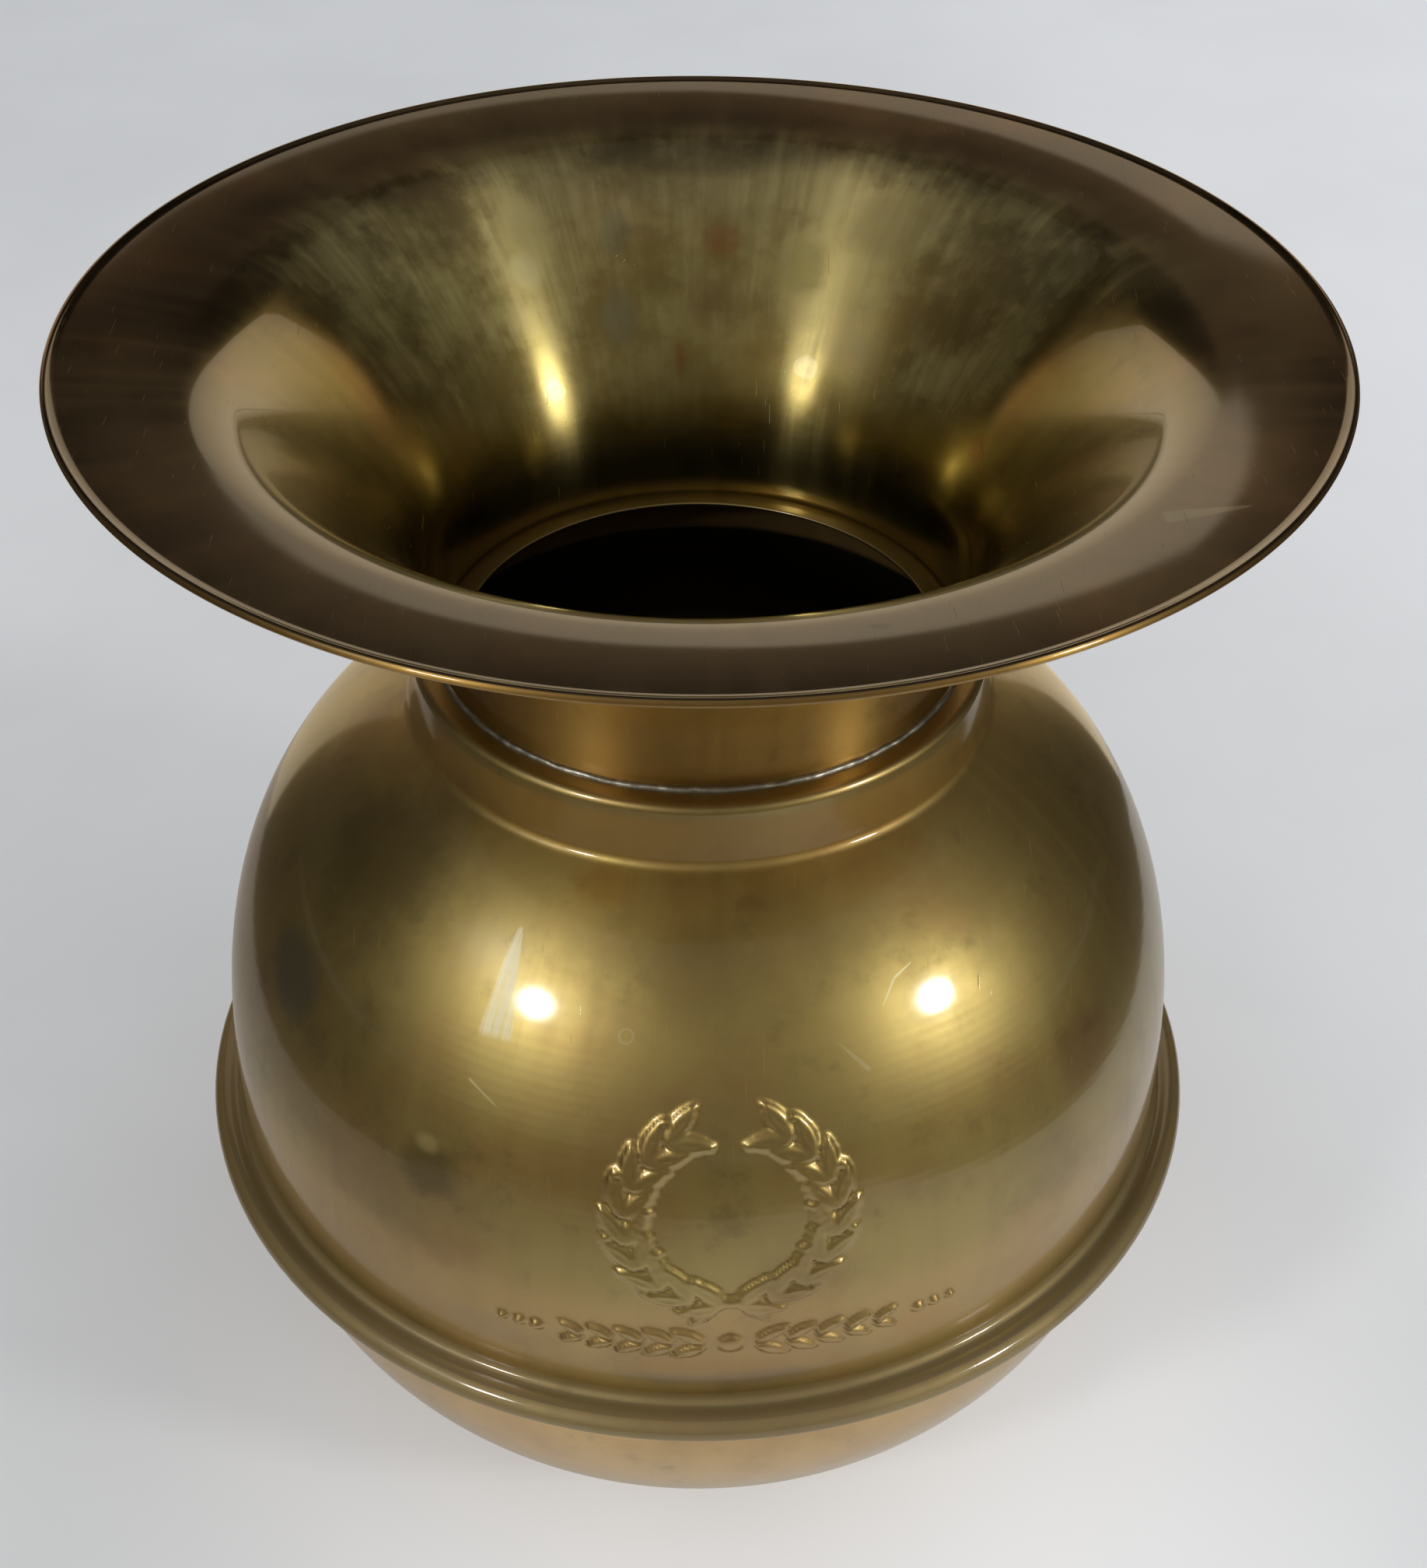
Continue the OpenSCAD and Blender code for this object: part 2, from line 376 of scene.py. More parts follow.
@dataclass
class Ornament:
    """Embossed ornament on the front: a laurel wreath with a plain middle, and two leafy sprigs below it."""

    middle_deg: float = -86.5
    middle_z: float = 116.5
    ring_r: float = 18.0
    pairs: int = 9
    gap_deg: float = 14.0
    tie_deg: float = 9.0
    leaf_length: float = 9.6
    leaf_width: float = 3.9
    leaf_splay_deg: float = 27.0
    berry_r: float = 1.05
    berry_out: float = 3.6
    tie_bead_r: float = 1.5
    tie_bead_step: float = 1.9
    tie_leaf: Point = (7.5, 2.2)
    sprig_drop: float = 28.4
    sprig_start: float = 7.2
    sprig_pairs: int = 5
    sprig_step: float = 5.0
    sprig_splay_deg: float = 26.0
    sprig_leaf: Point = (7.0, 2.7)
    sprig_bead_r: float = 2.3
    end_beads: int = 3
    end_start: float = 33.4
    end_step: float = 3.1
    end_bead_r: float = 1.25
    half_wide: float = 48.0
    half_high: float = 36.0
    relief: float = 0.95

    def wreath(self) -> list:
        """Gives the leaves, berries and tie of the two branches.

        Returns:
            The shapes of the relief.
        """
        shapes = []
        step = (180 - self.gap_deg - self.tie_deg) / self.pairs
        for hand in (-1, 1):
            for i in range(self.pairs):
                a = -90 + hand * (self.tie_deg + step * (i + 0.35))
                mid = (self.ring_r * math.cos(math.radians(a)), self.ring_r * math.sin(math.radians(a)))
                along = a + hand * 90
                for side in (-1, 1):
                    turn = math.radians(a)
                    out = side * self.leaf_width * 0.55
                    place = (mid[0] + out * math.cos(turn), mid[1] + out * math.sin(turn))
                    shapes.append(Leaf(place, along - hand * side * self.leaf_splay_deg,
                                       self.leaf_length, self.leaf_width))
                berry_a = math.radians(a + hand * step * 0.62)
                berry_ring = self.ring_r + self.berry_out * (1 if i % 2 else -1)
                berry = (berry_ring * math.cos(berry_a), berry_ring * math.sin(berry_a))
                shapes.append(Bead(berry, self.berry_r))
        for k in (-1, 0, 1):
            shapes.append(Bead((k * self.tie_bead_step, -self.ring_r), self.tie_bead_r))
        for hand in (-1, 1):
            shapes.append(Leaf((hand * 4.2, -self.ring_r - 3.0), -38 * hand, *self.tie_leaf))
        return shapes

    def sprigs(self) -> list:
        """Gives the two leafy sprigs and the beads under the wreath.

        Returns:
            The shapes of the relief.
        """
        shapes = [Bead((0, -self.sprig_drop), self.sprig_bead_r)]
        length, width = self.sprig_leaf
        for hand in (-1, 1):
            turn = 90 - 90 * hand
            for i in range(self.sprig_pairs):
                across = hand * (self.sprig_start + self.sprig_step * i)
                for side in (-1, 1):
                    splay = self.sprig_splay_deg * side * hand
                    place = (across, -self.sprig_drop + side * (2.0 - 0.15 * i))
                    shapes.append(Leaf(place, turn + splay, length - 0.45 * i, width - 0.16 * i))
            for k in range(self.end_beads):
                place = (hand * (self.end_start + self.end_step * k), -self.sprig_drop)
                shapes.append(Bead(place, self.end_bead_r - 0.18 * k))
        return shapes

    def on_bowl(self, face: list[Point]) -> Callable[[np.ndarray], np.ndarray]:
        """Lays the ornament on the outer face of the bowl.

        Args:
            face: the outer face's path, from the collar down to the belt.

        Returns:
            A function for push that raises the outer face only.
        """
        path = np.array(face)
        lengths = np.concatenate(([0.0], np.cumsum(np.hypot(*np.diff(path, axis=0).T))))
        order = np.argsort(path[:, 1])
        levels, radii, downs = path[order, 1], path[order, 0], lengths[order]
        mid_down = float(np.interp(self.middle_z, levels, downs))
        mid_r = float(np.interp(self.middle_z, levels, radii))
        shapes = self.wreath() + self.sprigs()

        def height(places: np.ndarray) -> np.ndarray:
            """Gives the relief's height.

            Args:
                places: the points, in millimetres.

            Returns:
                The height at each of them, which is 0 away from the ornament and on the inner face.
            """
            around = np.arctan2(places[:, 1], places[:, 0]) - math.radians(self.middle_deg)
            around = (around + math.pi) % (2 * math.pi) - math.pi
            outer = np.hypot(places[:, 0], places[:, 1]) > np.interp(places[:, 2], levels, radii) - 0.45
            u = around * mid_r
            v = mid_down - np.interp(places[:, 2], levels, downs)
            near = outer & (np.abs(u) < self.half_wide) & (np.abs(v) < self.half_high)
            near &= places[:, 2] < levels[-1]
            raised = np.zeros(len(places))
            total = raised[near]
            for shape in shapes:
                total = np.maximum(total, shape.height(u[near], v[near]))
            raised[near] = self.relief * total
            return raised
        return height


@dataclass
class Funnel:
    """Wide flared mouth on a straight neck tube, spun in one piece: wall, bend and nearly level brim."""

    sheet: float = 0.9
    rim_edge_r: float = 0.75
    flare_h: float = 54.3
    brim_w: float = 20.4
    brim_tilt_deg: float = 8.2
    brim_crown_deg: float = 1.3
    bend_r: float = 18.0
    wall_tilt_deg: float = 41.0
    neck_r: float = 48.4
    neck_h: float = 7.6
    unevenness: Triple = (34.0, 0.05, 3.7)
    steps: int = 60
    rim_r: float = field(init=False)
    seat_z: float = field(init=False)

    def __post_init__(self) -> None:
        """Takes the rim's radius and the level of the seat from the frame."""
        low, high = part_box("mouth_funnel")
        self.rim_r = high.x / MM
        self.seat_z = low.z / MM

    def face(self) -> list[Point]:
        """Gives the inner face, from the foot of the neck up to the rim.

        Returns:
            The path, in millimetres.
        """
        tilt, wall = math.radians(self.brim_tilt_deg), math.radians(self.wall_tilt_deg)
        inner_r = self.neck_r - self.sheet
        flare_z = self.seat_z + self.neck_h
        rim = (self.rim_r - self.rim_edge_r - self.sheet / 2 * math.sin(tilt), flare_z + self.flare_h)
        crown = self.brim_w * math.radians(self.brim_crown_deg) / 4
        brim = []
        for k in range(12, -1, -1):
            u = k / 12
            drop = self.brim_w * u * math.tan(tilt) - 4 * crown * u * (1 - u)
            brim.append((rim[0] - self.brim_w * u, rim[1] - drop))
        start = math.radians(self.brim_tilt_deg + self.brim_crown_deg)
        bend_mid = (brim[0][0] + self.bend_r * math.sin(start), brim[0][1] - self.bend_r * math.cos(start))
        bend = arc(bend_mid, self.bend_r, 90 + self.wall_tilt_deg, 90 + math.degrees(start), 16)
        corner = (inner_r, bend[0][1] - (bend[0][0] - inner_r) * math.tan(wall))
        neck = [(inner_r, self.seat_z + self.neck_h * i / 6) for i in range(6)]
        side = soft_corner((inner_r, flare_z), corner, bend[0], self.steps)
        return neck + side + bend[1:] + brim[1:]

    def build(self) -> bpy.types.Object:
        """Makes the funnel.

        Returns:
            The piece, riding on the top half.
        """
        face = self.face()
        rim = rounded_end(face, -1, self.sheet, self.rim_edge_r, 14)
        piece = spun_piece("mouth", face[:-1] + rim + beside(face, self.sheet)[-2::-1], Sweep(rest_steps=320))
        push(piece, hand_work(*self.unevenness))
        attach(piece, "top_half")
        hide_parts("mouth_funnel")
        return piece


@dataclass
class UpperBowl:
    """Upper half of the body: ledge, collar, shoulder, groove and half-round belt."""

    sheet: float = 0.9
    throat_r: float = 43.3
    collar_top_r: float = 53.2
    collar_spread: float = 1.0
    collar_h: float = 11.8
    collar_edge_r: float = 1.8
    collar_cove: float = 1.3
    body_r: float = 95.0
    shoulder_h: float = 82.6
    fullness: float = 2.47
    belt_bead_r: float = 2.9
    belt_cove_r: float = 1.6
    belt_slope_w: float = 0.64
    belt_rise_deg: float = 15.0
    belt_tuck_deg: float = 12.0
    belt_z: float = 69.6
    unevenness: Triple = (40.0, 0.14, 11.2)
    steps: int = 46
    relief_spacing: float = 0.5
    relief_below: float = 37.0
    relief_above: float = 26.0
    ornament: Ornament = field(default_factory=Ornament)
    seat_z: float = field(init=False)

    def __post_init__(self) -> None:
        """Takes the level of the ledge from the frame."""
        self.seat_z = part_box("upper_bowl")[1].z / MM

    def belt(self) -> list[Point]:
        """Gives the groove and the half-round belt.

        Returns:
            The path from the wall down to the belt's edge.
        """
        reach = self.belt_bead_r + self.belt_cove_r
        rise = math.radians(self.belt_rise_deg)
        mid_r = self.body_r + reach * (1 + math.sin(rise)) + self.belt_slope_w - self.belt_bead_r
        cove_z = self.belt_z + reach * math.cos(rise) - self.belt_slope_w * math.tan(rise)
        cove_mid = (self.body_r + self.belt_cove_r, cove_z)
        groove = arc(cove_mid, self.belt_cove_r, 180, 270 + self.belt_rise_deg, 10)
        bead = arc((mid_r, self.belt_z), self.belt_bead_r, 90 + self.belt_rise_deg, -self.belt_tuck_deg, 20)
        return groove + bead

    def shoulder(self) -> list[Point]:
        """Gives the round side, from the hollow at the collar's foot down to the wall.

        Returns:
            The path of the outer face.
        """
        foot_r = self.collar_top_r + self.collar_spread
        foot_z = self.seat_z - self.collar_h
        wall_z = foot_z - self.shoulder_h
        full_h = self.shoulder_h / (1 - (foot_r / self.body_r) ** self.fullness) ** (1 / self.fullness)
        start = math.acos(((foot_r + self.collar_cove) / self.body_r) ** (self.fullness / 2))
        side = []
        for i in range(self.steps + 1):
            across, up = quarter(self.body_r, full_h, self.fullness, start * (1 - i / self.steps))
            side.append((across, wall_z + up))
        cove = soft_corner((foot_r, foot_z + self.collar_cove), (foot_r, foot_z), side[0], 8)
        return cove + side[1:]

    def build(self) -> bpy.types.Object:
        """Makes the upper bowl with its ornament.

        Returns:
            The piece, riding on the top half.
        """
        edge_mid = (self.collar_top_r - self.collar_edge_r, self.seat_z - self.collar_edge_r)
        ledge_start = self.throat_r + self.sheet / 2
        ledge = [(ledge_start + (edge_mid[0] - ledge_start) * i / 5, self.seat_z) for i in range(5)]
        collar = arc(edge_mid, self.collar_edge_r, 90, 0, 8)
        foot = (self.collar_top_r + self.collar_spread, self.seat_z - self.collar_h + self.collar_cove)
        last = collar[-1]
        for i in range(1, 6):
            collar.append((last[0] + (foot[0] - last[0]) * i / 6, last[1] + (foot[1] - last[1]) * i / 6))
        shoulder = self.shoulder()
        coarse = ledge + collar + shoulder + self.belt()
        middle_z = self.ornament.middle_z
        face = spread(coarse, middle_z - self.relief_below, middle_z + self.relief_above, self.relief_spacing)
        inner = beside(coarse, self.sheet)
        section = face + rounded_end(coarse, -1, self.sheet, self.sheet / 2)[1:-1] + inner[::-1]
        section += rounded_end(coarse, 0, self.sheet, self.sheet / 2)[-2:0:-1]
        sweep = Sweep(front_deg=62, front_steps=168, rest_steps=120, middle_deg=self.ornament.middle_deg)
        piece = spun_piece("body_top", section, sweep)
        push(piece, hand_work(*self.unevenness))
        push(piece, self.ornament.on_bowl(shoulder))
        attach(piece, "top_half")
        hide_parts("upper_bowl")
        return piece


@dataclass
class LowerBowl:
    """Lower half of the body: locating rim, stop bead, round bowl, foot ring and recess."""

    sheet: float = 0.9
    body_r: float = 95.0
    spigot_r: float = 93.8
    spigot_h: float = 8.0
    stop_r: float = 1.7
    stop_cove_r: float = 0.6
    stop_mid_r: float = 96.6
    stop_z: float = 69.275
    belt_z: float = 69.6
    fullness: float = 2.14
    recess_r: float = 43.0
    foot_ring_w: float = 4.7
    recess_h: float = 12.0
    recess_edge_r: float = 1.2
    steps: int = 44

    def face(self) -> list[Point]:
        """Gives the outer face, from the locating rim down to the middle of the bottom.

        Returns:
            The path, in millimetres.
        """
        top_z = self.stop_z + self.stop_r
        cove, bead = self.stop_cove_r, self.stop_r
        low_z = self.stop_z - bead - cove
        rim_z = top_z + self.spigot_h - self.sheet / 2
        seat = [(self.spigot_r, rim_z - (self.spigot_h - 1.5) * i / 6) for i in range(6)]
        seat += arc((self.spigot_r + cove, top_z + cove), cove, 180, 270, 5)
        seat += arc((self.stop_mid_r, self.stop_z), bead, 90, -90, 18)
        seat += arc((self.body_r + cove, low_z), cove, 90, 180, 5)
        foot_r = self.recess_r + self.foot_ring_w
        full_h = self.belt_z / (1 - (foot_r / self.body_r) ** self.fullness) ** (1 / self.fullness)
        start = math.asin(((self.belt_z - low_z) / full_h) ** (self.fullness / 2))
        end = math.acos((foot_r / self.body_r) ** (self.fullness / 2))
        side = []
        for i in range(1, self.steps + 1):
            across, down = quarter(self.body_r, full_h, self.fullness, start + (end - start) * i / self.steps)
            side.append((across, self.belt_z - down))
        bend = self.recess_edge_r
        recess = arc((self.recess_r + bend, bend), bend, 270, 180, 6)
        recess += arc((self.recess_r - bend, self.recess_h - bend), bend, 0, 90, 6)
        recess += [((self.recess_r - bend) * (1 - i / 6), self.recess_h) for i in range(1, 7)]
        return seat + side + recess

    def build(self) -> bpy.types.Object:
        """Makes the lower bowl.

        Returns:
            The piece, riding on the lower half.
        """
        face = self.face()
        inner = beside(face, self.sheet)
        inner[-1] = (0.0, self.recess_h + self.sheet)
        section = face[::-1] + rounded_end(face, 0, self.sheet, self.sheet / 2)[1:-1] + inner
        piece = spun_piece("body_bottom", section, Sweep(rest_steps=300), closed=False)
        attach(piece, "lower_half")
        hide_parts("lower_bowl")
        return piece


@dataclass
class SolderSeam:
    """Soft-solder seam that was run round the foot of the neck by hand."""

    neck_r: float = 48.4
    leg: float = 0.9
    sunk: float = 0.15

    def build(self) -> bpy.types.Object:
        """Makes the seam, whose width wanders.

        Returns:
            The piece, riding on the top half.
        """
        seat_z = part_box("neck_solder")[0].z / MM
        section = [(self.neck_r - self.sunk, seat_z - self.sunk)]
        section += arc((self.neck_r - self.sunk, seat_z - self.sunk), self.leg, 0, 90, 8)
        piece = spun_piece("neck_seam", section, Sweep(rest_steps=420))

        def wander(places: np.ndarray) -> np.ndarray:
            """Gives how far the seam swells or shrinks at each place, in long waves and short ones."""
            points = [Vector(p) for p in places]
            return np.array([0.28 * noise.noise(p / 5) + 0.16 * noise.noise(p / 1.7) for p in points])
        push(piece, wander)
        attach(piece, "top_half")
        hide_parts("neck_solder")
        return piece


class Recipe:
    """A material that is built up from nodes on Object coordinates, in metres."""

    def __init__(self, name: str) -> None:
        """Starts an empty material.

        Args:
            name: the material's name.
        """
        self.material = bpy.data.materials.new(name)
        self.material.use_nodes = True
        self.tree = self.material.node_tree
        self.tree.nodes.clear()
        self.place = self.add("ShaderNodeTexCoord").outputs["Object"]

    def add(self, kind: str, links: dict | None = None, out: int | str | None = None,
            **settings: object) -> object:
        """Adds one node.

        Args:
            kind: Blender's name of the node.
            links: what goes into its sockets, by name or number: a socket to link, or a value to set.
            out: the output to give back, or None for the node itself.
            settings: the node's own settings.

        Returns:
            The node, or its chosen output.
        """
        made = self.tree.nodes.new(kind)
        for key, value in settings.items():
            setattr(made, key, value)
        for socket, value in (links or {}).items():
            if isinstance(value, Socket):
                self.tree.links.new(value, made.inputs[socket])
            else:
                made.inputs[socket].default_value = value
        return made if out is None else made.outputs[out]

    def around(self, turns: float, rise: float) -> Socket:
        """Gives coordinates that follow the spun surface, without a seam.

        Args:
            turns: radius of the circle that stands for the way round, which sets how fine a pattern is there.
            rise: what the height in metres is multiplied by.

        Returns:
            A vector socket.
        """
        flat = self.add(VECTOR_MATH, {0: self.place, 1: (1, 1, 0)}, 0, operation="MULTIPLY")
        unit = self.add(VECTOR_MATH, {0: flat}, 0, operation="NORMALIZE")
        height = self.add(VECTOR_MATH, {0: self.place, 1: (0, 0, rise)}, 0, operation="MULTIPLY")
        return self.add(
            VECTOR_MATH, {0: unit, 1: (turns, turns, turns), 2: height}, 0, operation="MULTIPLY_ADD"
        )

    def cloud(self, vector: Socket, scale: float, low: float, high: float, detail: float = 4.0,
              grain: float = 0.6) -> Socket:
        """Gives a mask of soft clouds.

        Args:
            vector: where the pattern is read.
            scale: clouds per unit of the vector.
            low: noise value at which the mask starts.
            high: noise value at which it is full.
            detail: number of finer layers.
            grain: strength of the finer layers.

        Returns:
            A value socket from 0 to 1.
        """
        raw = self.add(
            NOISE_TEXTURE, {"Vector": vector, "Scale": scale, "Detail": detail, "Roughness": grain}, 0
        )
        return self.add(
            MAP_RANGE, {"Value": raw, "From Min": low, "From Max": high}, 0, **SOFT
        )

    def tone(self, under: Socket | Colour, over: Colour, mask: Socket,
             strength: float) -> Socket:
        """Lays a second colour over a first one where a mask says.

        Args:
            under: the colour below.
            over: the colour on top.
            mask: where the upper one shows.
            strength: how strongly it shows where the mask is full.

        Returns:
            A colour socket.
        """
        share = self.add(MATH, {0: mask, 1: strength}, 0, operation="MULTIPLY")
        return self.add("ShaderNodeMix", {0: share, 6: under, 7: over}, 2, data_type="RGBA")

    def product(self, *parts: Socket) -> Socket:
        """Multiplies masks with each other.

        Args:
            parts: the masks.

        Returns:
            A value socket.
        """
        total = parts[0]
        for part in parts[1:]:
            total = self.add(MATH, {0: total, 1: part}, 0, operation="MULTIPLY")
        return total

    def from_place(self, place: Triple) -> Socket:
        """Gives the vector from a place, in millimetres, to the shaded point."""
        middle = tuple(c * MM for c in place)
        return self.add(VECTOR_MATH, {0: self.place, 1: middle}, 0, operation="SUBTRACT")

    def finish(self, shader: Socket) -> bpy.types.Material:
        """Ends the material with its shader and gives it back."""
        self.add("ShaderNodeOutputMaterial", {"Surface": shader})
        return self.material


@dataclass(frozen=True)
class Stain:
    """A stain, a haze or a smudge on the brass, round or oval, with a ragged edge; on the body some of them
    are patches of painted shade or painted highlight.
    """

    place: Triple
    size: Triple
    colour: str
    strength: float
    roughness: float = 0.0
    ragged: float = 0.25

    def mask(self, recipe: Recipe, wobble: Socket) -> Socket:
        """Gives the stain's mask.

        Args:
            recipe: the material.
            wobble: noise from 0 to 1 that disturbs the edge.

        Returns:
            A value socket from 0 to 1.
        """
        scale = tuple(1 / (s * MM) for s in self.size)
        away = recipe.from_place(self.place)
        scaled = recipe.add(VECTOR_MATH, {0: away, 1: scale}, 0, operation="MULTIPLY")
        far = recipe.add(VECTOR_MATH, {0: scaled}, "Value", operation="LENGTH")
        rough = recipe.add(MATH, {0: wobble, 1: self.ragged * 4, 2: far}, 0, operation="MULTIPLY_ADD")
        return recipe.add(
            MAP_RANGE,
            {"Value": rough, "From Min": 1.0 + self.ragged * 2, "From Max": 0.35 + self.ragged * 2}, 0, **SOFT
        )


@dataclass(frozen=True)
class Rub:
    """A straight scratch or rub from one point to another, which may get wider on the way."""

    start: Triple
    end: Triple
    widths: tuple[float, float]
    colour: str
    strength: float
    roughness: float = 0.0
    brushed: float = 0.0

    def mask(self, recipe: Recipe, wobble: Socket) -> Socket:
        """Gives the rub's mask.

        Args:
            recipe: the material.
            wobble: noise from 0 to 1 that disturbs the edge.

        Returns:
            A value socket from 0 to 1.
        """
        way = (Vector(self.end) - Vector(self.start)) * MM
        away = recipe.from_place(self.start)
        share = recipe.add(
            VECTOR_MATH, {0: away, 1: tuple(way / way.length_squared)}, "Value", operation="DOT_PRODUCT"
        )
        back = recipe.add(VECTOR_MATH, {0: tuple(-way), "Scale": share}, 0, operation="SCALE")
        side = recipe.add(VECTOR_MATH, {0: away, 1: back}, 0, operation="ADD")
        across = recipe.add(VECTOR_MATH, {0: side}, "Value", operation="LENGTH")
        half = recipe.add(MAP_RANGE, {
            "Value": share, "To Min": self.widths[0] / 2 * MM, "To Max": self.widths[1] / 2 * MM}, 0)
        ratio = recipe.add(MATH, {0: across, 1: half}, 0, operation="DIVIDE")
        uneven = recipe.add(MATH, {0: wobble, 1: 0.9, 2: ratio}, 0, operation="MULTIPLY_ADD")
        inside = recipe.add(MAP_RANGE, {"Value": uneven, "From Min": 1.5, "From Max": 1.15}, 0)
        first = recipe.add(MAP_RANGE, {"Value": share, "From Min": -0.01, "From Max": 0.03}, 0)
        last = recipe.add(MAP_RANGE, {"Value": share, "From Min": 1.02, "From Max": 0.93}, 0)
        rubbed = recipe.product(first, last, inside)
        if not self.brushed:
            return rubbed
        strokes = recipe.cloud(recipe.around(170, 1 / (9 * MM)), 1.0, 0.36, 0.56, 3.0, 0.6)
        left = recipe.add(MAP_RANGE, {"Value": strokes, "To Min": 1 - self.brushed}, 0)
        return recipe.product(rubbed, left)


@dataclass(frozen=True)
class DriedDrop:
    """The pale ring that a drop left where it dried."""

    place: Triple
    r: float
    line: float
    colour: str
    strength: float
    roughness: float = 0.0

    def mask(self, recipe: Recipe, wobble: Socket) -> Socket:
        """Gives the ring's mask.

        Args:
            recipe: the material.
            wobble: noise from 0 to 1 that disturbs the ring a little.

        Returns:
            A value socket from 0 to 1.
        """
        away = recipe.from_place(self.place)
        far = recipe.add(VECTOR_MATH, {0: away}, "Value", operation="LENGTH")
        uneven = recipe.add(MATH, {0: wobble, 1: self.r * 0.5 * MM, 2: far}, 0, operation="MULTIPLY_ADD")
        off = recipe.add(MATH, {0: uneven, 1: self.r * 1.25 * MM}, 0, operation="SUBTRACT")
        size = recipe.add(MATH, {0: off}, 0, operation="ABSOLUTE")
        return recipe.add(MAP_RANGE, {"Value": size, "From Min": self.line * MM, "From Max": 0.0}, 0)


@dataclass(frozen=True)
class Band:
    """A tone that lies all round between two heights, with soft edges."""

    low: float
    high: float
    soft: float
    colour: str
    strength: float
    roughness: float = 0.0

    def mask(self, recipe: Recipe, wobble: Socket) -> Socket:
        """Gives the band's mask.

        Args:
            recipe: the material.
            wobble: noise from 0 to 1 that the edges wander with.

        Returns:
            A value socket from 0 to 1.
        """
        height = recipe.add(SEPARATE, {0: recipe.place}, "Z")
        uneven = recipe.add(
            MATH, {0: wobble, 1: self.soft * MM, 2: height}, 0, operation="MULTIPLY_ADD"
        )
        middle, half = (self.low + self.high + self.soft) / 2, (self.high - self.low) / 2
        off = recipe.add(MATH, {0: uneven, 1: middle * MM}, 0, operation="SUBTRACT")
        size = recipe.add(MATH, {0: off}, 0, operation="ABSOLUTE")
        edge = self.soft / 2
        return recipe.add(MAP_RANGE, {
            "Value": size, "From Min": (half + edge) * MM, "From Max": (half - edge) * MM}, 0, **SOFT)


WearOrPaintedLight = Stain | Rub | DriedDrop | Band
Surface = tuple[Socket, Socket, Socket | float]


